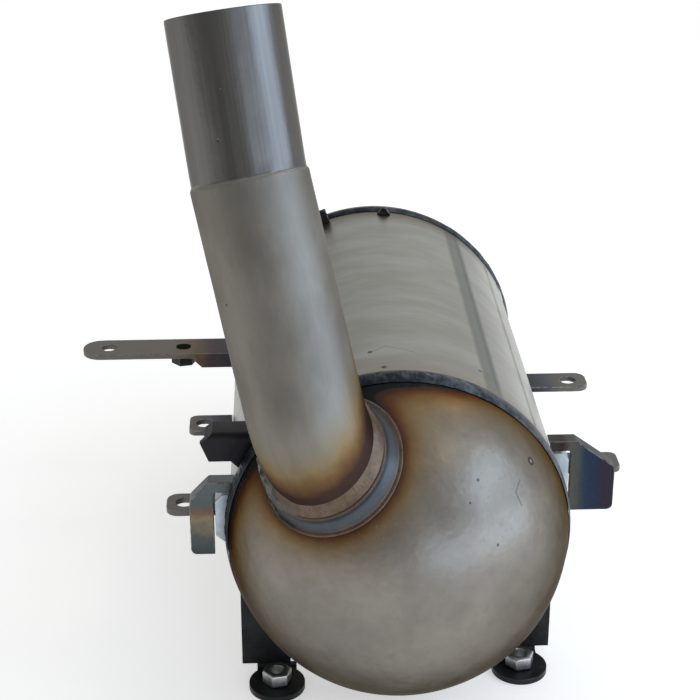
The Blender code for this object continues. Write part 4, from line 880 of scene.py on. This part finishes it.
def rear_end(steel, weld):
    """Rear weld, spun cone, neck, its weld and the clamp flange, turned about one axis."""
    front = SHELL_LENGTH - REAR_BEAD_WIDTH / 2
    base = SHELL_RADIUS + SEAT_GAP
    crown = [(base + REAR_BEAD_HEIGHT * sin(pi * k / 10), front + REAR_BEAD_WIDTH * k / 10)
             for k in range(11)]

    def bead_shift(angle, radius, y):
        share = (radius - base) / REAR_BEAD_HEIGHT
        wave = ripple(angle, SHELL_RADIUS, pitch=0.0022, depth=0.00012)
        return share * (wave + uneven(on_shell(angle, y), 0.005, 0.0002) - 0.00008)

    dress(turned("rear_weld_skin", crown, 720, weld, bead_shift), "weld_metal", "rear_weld_bead")

    skirt_end = CONE_FRONT_Y + CONE_SKIRT
    slant = atan2(SHELL_RADIUS - NECK_RADIUS, CONE_END_Y - skirt_end)
    shift = SHEET * tan(slant / 2)
    corners = [(SHELL_RADIUS, CONE_FRONT_Y), (SHELL_RADIUS, skirt_end),
               (NECK_RADIUS, CONE_END_Y), (NECK_RADIUS, SPIGOT_END_Y),
               (NECK_RADIUS - SHEET, SPIGOT_END_Y), (NECK_RADIUS - SHEET, CONE_END_Y - shift),
               (SHELL_RADIUS - SHEET, skirt_end - shift), (SHELL_RADIUS - SHEET, CONE_FRONT_Y)]
    radii = [0.0, CONE_SHOULDER_RADIUS, CONE_THROAT_RADIUS, 0.0,
             0.0, CONE_THROAT_RADIUS + SHEET, CONE_SHOULDER_RADIUS - SHEET, 0.0]
    cone = turned("cone_skin", split(rounded(corners, radii), 0.006), 240, steel)
    dress(cone, "shell_steel", "rear_cone")

    inside = NECK_RADIUS + SEAT_GAP
    corners = [(NECK_OUTER_RADIUS, NECK_FRONT_Y), (NECK_OUTER_RADIUS, NECK_END_Y),
               (inside, NECK_END_Y), (inside, NECK_FRONT_Y)]
    outline = split(rounded(corners, [0.0004, 0.0004, 0.0, 0.0]), 0.004)
    neck = turned("neck_skin", outline, 200, steel)
    dress(neck, "pipe_steel", "inlet_neck")

    toe = (inside, NECK_FRONT_Y - SEAT_GAP)
    face = [(inside + SHEET * k / 6, toe[1] - NECK_BEAD_LEG * cos(pi * k / 12))
            for k in range(7)]

    def neck_shift(angle, radius, y):
        off = (toe[1] - y) / NECK_BEAD_LEG
        if off <= 0.05:
            return 0.0
        return min(off, 1 - off, 0.5) * ripple(angle, NECK_RADIUS, pitch=0.002, depth=0.0002)

    bead = turned("neck_weld_skin", [toe] + face, 300, weld, neck_shift)
    dress(bead, "weld_metal", "inlet_weld_bead")

    bore = NECK_OUTER_RADIUS + SEAT_GAP
    corners = [(bore, FLANGE_FRONT_Y), (bore + FLANGE_HUB, FLANGE_FRONT_Y),
               (bore + FLANGE_HUB, NECK_END_Y - FLANGE_LIP - FLANGE_SLANT),
               (FLANGE_RADIUS, NECK_END_Y - FLANGE_LIP), (FLANGE_RADIUS, NECK_END_Y),
               (bore, NECK_END_Y)]
    radii = [0.0, 0.0006, 0.0012, 0.0008, 0.0006, 0.0]
    flange = turned("flange_skin", split(rounded(corners, radii, 4), 0.004), 240, steel)
    dress(flange, "pipe_steel", "inlet_flange")


# Outlet


def leaning(side, lean):
    """Unit direction that rises while it goes left by the side angle and back by the lean."""
    return Vector((-tan(side), tan(lean), 1.0)).normalized()


def bend(points, start, heading, target, radius, steps):
    """Add an arc that turns the path from its heading to the target direction."""
    angle = heading.angle(target)
    across = (target - heading * heading.dot(target)).normalized()
    for k in range(1, steps + 1):
        turned_by = angle * k / steps
        off = sin(turned_by) * heading + (1 - cos(turned_by)) * across
        points.append(start + radius * off)
    return points[-1]


def pipe_route():
    """Points along the pipe's axis, the radius at each, and the length up to the shoulder."""
    leg = leaning(PIPE_LEG_SIDE, PIPE_LEG_LEAN)
    end = leaning(PIPE_END_SIDE, PIPE_END_LEAN)
    entry = OUTLET_AXIS.lerp(leg, PIPE_ENTRY_BLEND).normalized()
    start = DOME_CENTRE + OUTLET_AXIS * (DOME_RADIUS - PIPE_ENTRY_SINK)
    points = [start - entry * PIPE_ENTRY_DEPTH, start]
    corner = bend(points, start, entry, leg, PIPE_BEND_RADIUS, 40)
    top = corner + leg * PIPE_LEG_LENGTH
    shoulder = top - leg * PIPE_SHOULDER_LENGTH
    points += [corner.lerp(shoulder, k / 30) for k in range(1, 31)]
    points.append(top)
    top_index = len(points) - 1
    bend(points, top, leg, end, PIPE_END_BEND_RADIUS, 40)
    tip = points[-1]
    points += [tip + end * (PIPE_END_LENGTH * k / 20) for k in range(1, 21)]
    lengths = [0.0]
    for here, there in zip(points, points[1:]):
        lengths.append(lengths[-1] + (there - here).length)
    line = lengths[top_index] + SHOWN_STEP_AFTER_BEND
    radii = [PIPE_RADIUS - PIPE_SIZING * smooth_step(line - 0.0012, line + 0.0012, length)
             for length in lengths]
    return points, radii, lengths, line


def route_frames(points):
    """A pair of unit vectors across the route at each point, carried along without twist."""
    frames = []
    across = Vector((1.0, 0.0, 0.0))
    for k in range(len(points)):
        heading = (points[min(k + 1, len(points) - 1)] - points[max(k - 1, 0)]).normalized()
        across = (across - heading * across.dot(heading)).normalized()
        frames.append((across.copy(), heading.cross(across)))
    return frames


def pipe_skin(material, points, radii, lengths):
    """Bent tube with its sized end, its cut rim broken by a small chamfer."""
    frames = route_frames(points)
    rows, grain = [], []

    def add_row(index, radius, slide=0.0):
        across, beside = frames[index]
        heading = across.cross(beside)
        row, marks = [], []
        for angle in around(PIPE_ROUND):
            away = cos(angle) * across + sin(angle) * beside
            place = points[index] + away * radius + heading * slide
            inward = abs(uneven(place, 0.03, 0.00015)) if radius == radii[index] else 0.0
            row.append(place - away * inward)
            marks.append((radius * cos(angle), radius * sin(angle),
                          lengths[index] + slide))
        rows.append(row)
        grain.append(marks)

    last = len(points) - 1
    for index in range(last):
        add_row(index, radii[index])
    add_row(last, radii[last], -RIM_CHAMFER)
    add_row(last, radii[last] - RIM_CHAMFER)
    add_row(last, radii[last] - SHEET + RIM_INNER_CHAMFER)
    add_row(last, radii[last] - SHEET - 0.00001, -RIM_INNER_CHAMFER)
    for index in range(last - 1, -1, -1):
        add_row(index, radii[index] - SHEET)
    return dress(ring_mesh("pipe_skin", rows, material, grain), "pipe_steel", "outlet_pipe")


def about_outlet(name, profile_at, columns, material):
    """A ring about the outlet's axis; profile_at gives its (radius, height) points by angle."""
    lines = []
    for angle in around(columns):
        away = off_outlet(angle)
        lines.append([DOME_CENTRE + away * radius + OUTLET_AXIS * height
                      for radius, height in profile_at(angle, away)])
    return ring_mesh(name, list(zip(*lines)), material)


def dome_height(radius):
    return sqrt((DOME_RADIUS + SEAT_GAP) ** 2 - radius ** 2)


def left_side(away):
    """1 on the outlet's left, where its welds are heavy, and 0 elsewhere."""
    return smooth_step(0.35, 0.85, -away.x)


def outlet_collar(material):
    """Turned ring on the dome, its outer top edge rounded over."""
    inner = PIPE_RADIUS + SEAT_GAP

    def profile(angle, away):
        foot = [(r, dome_height(r)) for r in (inner, (inner + COLLAR_BASE_RADIUS) / 2)]
        corners = [(COLLAR_BASE_RADIUS, dome_height(COLLAR_BASE_RADIUS)),
                   (COLLAR_TOP_RADIUS, COLLAR_TOP_REACH), (inner, COLLAR_TOP_REACH)]
        outline = rounded(foot + corners, [0.0, 0.0, 0.0, 0.0016, 0.0], 6)
        place = away * COLLAR_TOP_RADIUS
        return [(r + uneven(place + Vector((0, 0, h)), 0.006, 0.0006 * left_side(away)), h)
                for r, h in outline]

    collar = about_outlet("collar_skin", profile, COLLAR_ROUND, material)
    return dress(collar, "weld_metal", "outlet_collar")


def fillet(corner, toe, high, steps, rise_at):
    """Outline of a fillet weld: its corner, then its crowned face from the toe to the top."""
    outward = ((toe + high) / 2 - corner).normalized()
    line = [corner]
    for step in range(steps + 1):
        place = toe.lerp(high, step / steps)
        line.append(place + outward * sin(pi * step / steps) * rise_at(place))
    return line


def collar_weld(material):
    """Fillet between dome and collar, a fine bright lip that swells on the left."""
    foot = Vector((COLLAR_BASE_RADIUS, dome_height(COLLAR_BASE_RADIUS)))
    top = Vector((COLLAR_TOP_RADIUS, COLLAR_TOP_REACH))
    up_side = (top - foot).normalized()
    corner = foot + Vector((up_side.y, -up_side.x)) * WELD_CLEARANCE
    high = corner + up_side * SHOWN_BEAD_LEG
    toe = Vector((COLLAR_TOE_RADIUS, dome_height(COLLAR_TOE_RADIUS)))

    def profile(angle, away):
        lump = uneven(away * COLLAR_BASE_RADIUS, 0.004, 0.0010 * left_side(away) + 0.00008)
        wave = ripple(angle, COLLAR_BASE_RADIUS, pitch=0.0018, depth=0.00008)
        return fillet(corner, toe, high, 8, lambda place: 0.0005 + max(lump, -0.0003) + wave)

    bead = about_outlet("collar_weld_skin", profile, 600, material)
    return dress(bead, "straw_metal", "collar_weld_bead")


def walk_up(wall, index, start, distance):
    """The point a given distance further along a line of points."""
    here = start
    for point in wall[index + 1:]:
        step = (point - here).length
        if step >= distance:
            return here.lerp(point, distance / step)
        distance -= step
        here = point
    return here


def pipe_weld(material, route, radii):
    """Fillet along the line where the pipe leaves the collar."""
    points = [point for point, radius in zip(route, radii) if radius == PIPE_RADIUS]
    frames = route_frames(points)
    level = COLLAR_TOP_REACH + SEAT_GAP
    lines = []
    for angle in around(480):
        wall = [p + (PIPE_RADIUS + WELD_CLEARANCE) * (cos(angle) * u + sin(angle) * v)
                for p, (u, v) in zip(points, frames)]
        heights = [(w - DOME_CENTRE).dot(OUTLET_AXIS) for w in wall]
        index = next(i for i in range(len(wall) - 1) if heights[i] <= level < heights[i + 1])
        share = (level - heights[index]) / (heights[index + 1] - heights[index])
        corner = wall[index].lerp(wall[index + 1], share)
        away = (corner - DOME_CENTRE - OUTLET_AXIS * level).normalized()
        heavy = left_side(away)
        high = walk_up(wall, index, corner, PIPE_BEAD_LEG + 0.0050 * heavy)
        toe = corner + away * (PIPE_BEAD_BASE_LEG + 0.0022 * heavy) - OUTLET_AXIS * (0.0022 * heavy)
        wave = ripple(angle, PIPE_RADIUS, pitch=0.0017, depth=0.0001)

        def rise_at(place):
            lump = uneven(place, 0.0045, 0.0026 * heavy + 0.0001)
            lump += uneven(place, 0.0019, 0.0009 * heavy, seed=3.0)
            return 0.0004 + 0.0012 * heavy + max(lump, -0.0003) + wave

        lines.append(fillet(corner, toe, high, 10, rise_at))
    bead = ring_mesh("pipe_weld_skin", list(zip(*lines)), material)
    return dress(bead, "straw_metal", "pipe_weld_bead")


# Brackets, nuts and small parts


def plate_copy(node, material, slot, edge=None):
    """The node's own shape with its cut edges rounded, standing for the node."""
    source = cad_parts[node]
    shape = bmesh.new()
    shape.from_mesh(source.data)
    bmesh.ops.remove_doubles(shape, verts=shape.verts, dist=1e-6)
    bmesh.ops.dissolve_limit(shape, angle_limit=radians(0.5),
                             verts=shape.verts, edges=shape.edges)
    bmesh.ops.recalc_face_normals(shape, faces=shape.faces)
    mesh = bpy.data.meshes.new(node + "_plate")
    shape.to_mesh(mesh)
    shape.free()
    piece = finish_mesh(node + "_plate", mesh, material)
    rim = piece.modifiers.new("edges", "BEVEL")
    rim.width = EDGE_WIDTH
    rim.segments = 3
    rim.limit_method = "ANGLE"
    rim.angle_limit = radians(40)
    rim.harden_normals = True
    if edge is not None:
        mesh.materials.append(edge)
        rim.material = 1
    return dress(piece, slot, node)


# Slot, finish, finish of the cut edges, and the nodes that take them
PLATES = (
    ("grey_bracket", "arm", "grey_edge", ("left_arm",)),
    ("grey_bracket", "lug", "grey_edge",
     ("left_lug", "right_strap", "left_small_lug", "right_small_lug")),
    ("tinted_bracket", "left_block", "grey_edge", ("left_block_bracket",)),
    ("dark_bracket", "right_block", "dark_edge", ("right_block_bracket",)),
    ("tinted_bracket", "pad", None, ("left_block_pad", "right_block_pad")),
    ("dark_bracket", "angle", "dark_edge", ("upper_angle_bracket",)),
    ("dark_bracket", "black", "dark_edge",
     ("left_foot", "right_foot", "rear_tab", "rear_pip", "arm_nut")),
    ("zinc_nut", "nut", None, ("left_foot_nut", "right_foot_nut")),
)


def brackets(finishes):
    for slot, plate, edge, nodes in PLATES:
        for node in nodes:
            plate_copy(node, finishes[plate], slot, finishes.get(edge))


def inner_parts(finishes):
    """Parts inside the canister keep their solids and take their finishes."""
    for node, finish in (("filter_substrate", "ceramic"), ("support_mat", "mat"),
                         ("front_retaining_ring", "shell"), ("rear_retaining_ring", "shell")):
        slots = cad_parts[node].material_slots
        for slot in slots:
            slot.material = finishes[finish]
        if not slots:
            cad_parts[node].data.materials.append(finishes[finish])


# Studio


def studio():
    """Plain soft room: bright to the right and behind, greyer in front and to the left."""
    world = bpy.data.worlds.new("studio")
    bpy.context.scene.world = world
    world.use_nodes = True
    sky = Graph(world.node_tree)
    sky.tree.nodes.clear()
    towards = sky.node("TexCoord").outputs["Generated"]

    def share_along(direction, *stops):
        """Colour or grey level by how far a ray points along the direction: 0 away, 1 along."""
        along = sky.dot(towards, Vector(direction).normalized())
        return sky.ramp(sky.scaled(along, 0.5, 1.0), [
            (position, level if isinstance(level, tuple) else (level,) * 3)
            for position, level in stops])

    depth = share_along((0.0, -0.91, 0.41),
                        (0.0, 0.82), (0.35, 0.82), (0.50, 0.77), (0.72, 0.66), (1.0, 0.54))
    side = share_along((1.0, 0.0, 0.0),
                       (0.0, 0.64), (0.25, 0.50), (0.45, 0.84), (0.62, 1.0), (1.0, 0.86))
    window = share_along((0.830, -0.555, 0.04), (0.0, 0.0), (0.85, 0.0),
                         (0.88, (2.00, 2.50, 3.20)), (1.0, (2.30, 2.85, 3.60)))
    low = share_along((0.0, 0.0, 1.0),
                      (0.0, 1.0), (0.535, 1.0), (0.58, 0.50), (0.65, 0.20), (0.73, 0.0))
    walls = sky.vector("MULTIPLY", depth, side)
    room = sky.vector("ADD", walls, sky.vector("MULTIPLY", window, low))
    light = sky.fill(sky.node("Background"), Color=room)
    sky.fill(sky.node("OutputWorld"), Surface=light.outputs[0])


def floor():
    """Pale floor, lit by the room. Seen directly or in metal it is white but for its shadow."""
    mesh = bpy.data.meshes.new("floor")
    corners = [(x * FLOOR_REACH, y * FLOOR_REACH, 0)
               for x, y in ((-1, -1), (1, -1), (1, 1), (-1, 1))]
    mesh.from_pydata(corners, [], [(0, 1, 2, 3)])
    ground = new_object("floor", mesh)
    material = bpy.data.materials.new("floor")
    material.use_nodes = True
    pale = Graph(material.node_tree)
    pale.tree.nodes.clear()
    matte = pale.fill(pale.node("BsdfDiffuse"), Color=(0.90, 0.90, 0.90))
    rays = pale.node("LightPath").outputs
    seen = rays["Is Camera Ray"]
    for ray in ("Is Glossy Ray", "Is Transmission Ray"):
        seen = pale.most(rays[ray], seen)
    glow = pale.fill(pale.node("Emission"), Strength=pale.times(seen, FLOOR_GLOW))
    both = pale.node("AddShader")
    pale.put(both.inputs[0], matte.outputs[0])
    pale.put(both.inputs[1], glow.outputs[0])
    pale.fill(pale.node("OutputMaterial"), Surface=both.outputs[0])
    mesh.materials.append(material)


def lamp(name, direction, distance, width, height, radiance, colour):
    """Area lamp that faces the canister; radiance is how bright its face looks."""
    data = bpy.data.lights.new(name, "AREA")
    data.shape = "RECTANGLE"
    data.size = width
    data.size_y = height
    data.energy = radiance * pi * width * height
    data.color = colour
    holder = new_object(name, data)
    away = Vector(direction).normalized()
    holder.location = LAMP_TARGET + away * distance
    holder.rotation_euler = away.to_track_quat("Z", "Y").to_euler()


def lights():
    # direction, distance, width, height, radiance and colour
    lamp("window_right", (0.84, -0.24, 0.58), 1.4, 1.00, 0.62, 2.1, (0.58, 0.77, 1.04))
    lamp("ceiling_front", (0.476, -0.216, 0.853), 1.6, 0.20, 0.20, 4.2, (1.0, 0.86, 0.66))
    lamp("ceiling_back", (0.469, 0.464, 0.751), 1.6, 0.20, 0.20, 4.0, (1.0, 0.84, 0.60))


def camera():
    data = bpy.data.cameras.new("camera")
    data.lens = CAMERA_LENS
    data.sensor_width = CAMERA_SENSOR
    data.clip_start = 0.01
    holder = new_object("camera", data)
    holder.location = CAMERA_PLACE
    holder.rotation_euler = CAMERA_TURN
    bpy.context.scene.camera = holder


route, route_radii, route_lengths, shoulder_at = pipe_route()

plate_grey = (0.165, 0.155, 0.140)
right_low, right_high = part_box("right_block_bracket")
finishes = {
    "shell": shell_finish(),
    "dome": dome_finish(),
    "pipe": pipe_finish(shoulder_at),
    "seam_weld": weld_finish("seam_weld", (0.030, 0.036, 0.044), (0.085, 0.105, 0.130)),
    "collar": collar_finish(),
    "straw": straw_finish(),
    "arm": bracket_finish("arm_steel", plate_grey, [
        (0.0, (0.05, 0.045, 0.05)), (0.12, (0.07, 0.05, 0.055)),
        (0.26, (0.15, 0.105, 0.055)), (0.5, (0.165, 0.145, 0.12))], reach=0.075),
    "lug": bracket_finish("lug_steel", plate_grey, [
        (0.0, (0.04, 0.04, 0.045)), (0.3, (0.075, 0.080, 0.105)),
        (0.6, (0.12, 0.115, 0.115))], reach=0.030),
    "left_block": block_finish("left_block_steel", [
        (0.0, (0.045, 0.058, 0.058)), (0.22, (0.085, 0.098, 0.095)), (0.45, (0.235, 0.190, 0.120)),
        (0.60, (0.170, 0.105, 0.080)), (0.72, (0.095, 0.115, 0.118)), (1.0, (0.125, 0.145, 0.142))],
        low=0.072, high=0.114, axis=2, spread=0.20),
    "right_block": block_finish("right_block_steel", [
        (0.0, (0.050, 0.048, 0.046)), (0.22, (0.042, 0.024, 0.021)), (0.34, (0.090, 0.092, 0.076)),
        (0.46, (0.066, 0.078, 0.074)), (0.56, (0.026, 0.042, 0.072)), (0.72, (0.022, 0.034, 0.062)),
        (0.84, (0.034, 0.028, 0.042)), (1.0, (0.032, 0.030, 0.042))],
        low=right_low.x, high=right_high.x, axis=0, spread=0.07),
    "pad": bracket_finish("pad_steel", (0.50, 0.56, 0.61), [(0.0, (0.34, 0.39, 0.44))],
                          reach=0.01, roughness=0.40),
    "grey_edge": edge_finish("grey_edge", (0.10, 0.098, 0.092), (0.30, 0.295, 0.28)),
    "dark_edge": edge_finish("dark_edge", (0.025, 0.026, 0.028), (0.16, 0.16, 0.158)),
    "angle": bracket_finish("angle_steel", (0.024, 0.023, 0.025),
                            [(0.0, (0.020, 0.020, 0.025)), (0.5, (0.015, 0.015, 0.018))],
                            reach=0.014),
    "black": black_finish(),
    "nut": nut_finish(),
    "ceramic": ceramic_finish(),
    "mat": mat_finish(),
}

canister_shell(finishes["shell"])
front_dome(finishes["dome"])
front_weld(finishes["seam_weld"])
rear_end(finishes["shell"], finishes["seam_weld"])
pipe_skin(finishes["pipe"], route, route_radii, route_lengths)
outlet_collar(finishes["collar"])
collar_weld(finishes["straw"])
pipe_weld(finishes["straw"], route, route_radii)
brackets(finishes)
inner_parts(finishes)

studio()
floor()
lights()
camera()
bpy.context.scene.view_settings.view_transform = "Standard"
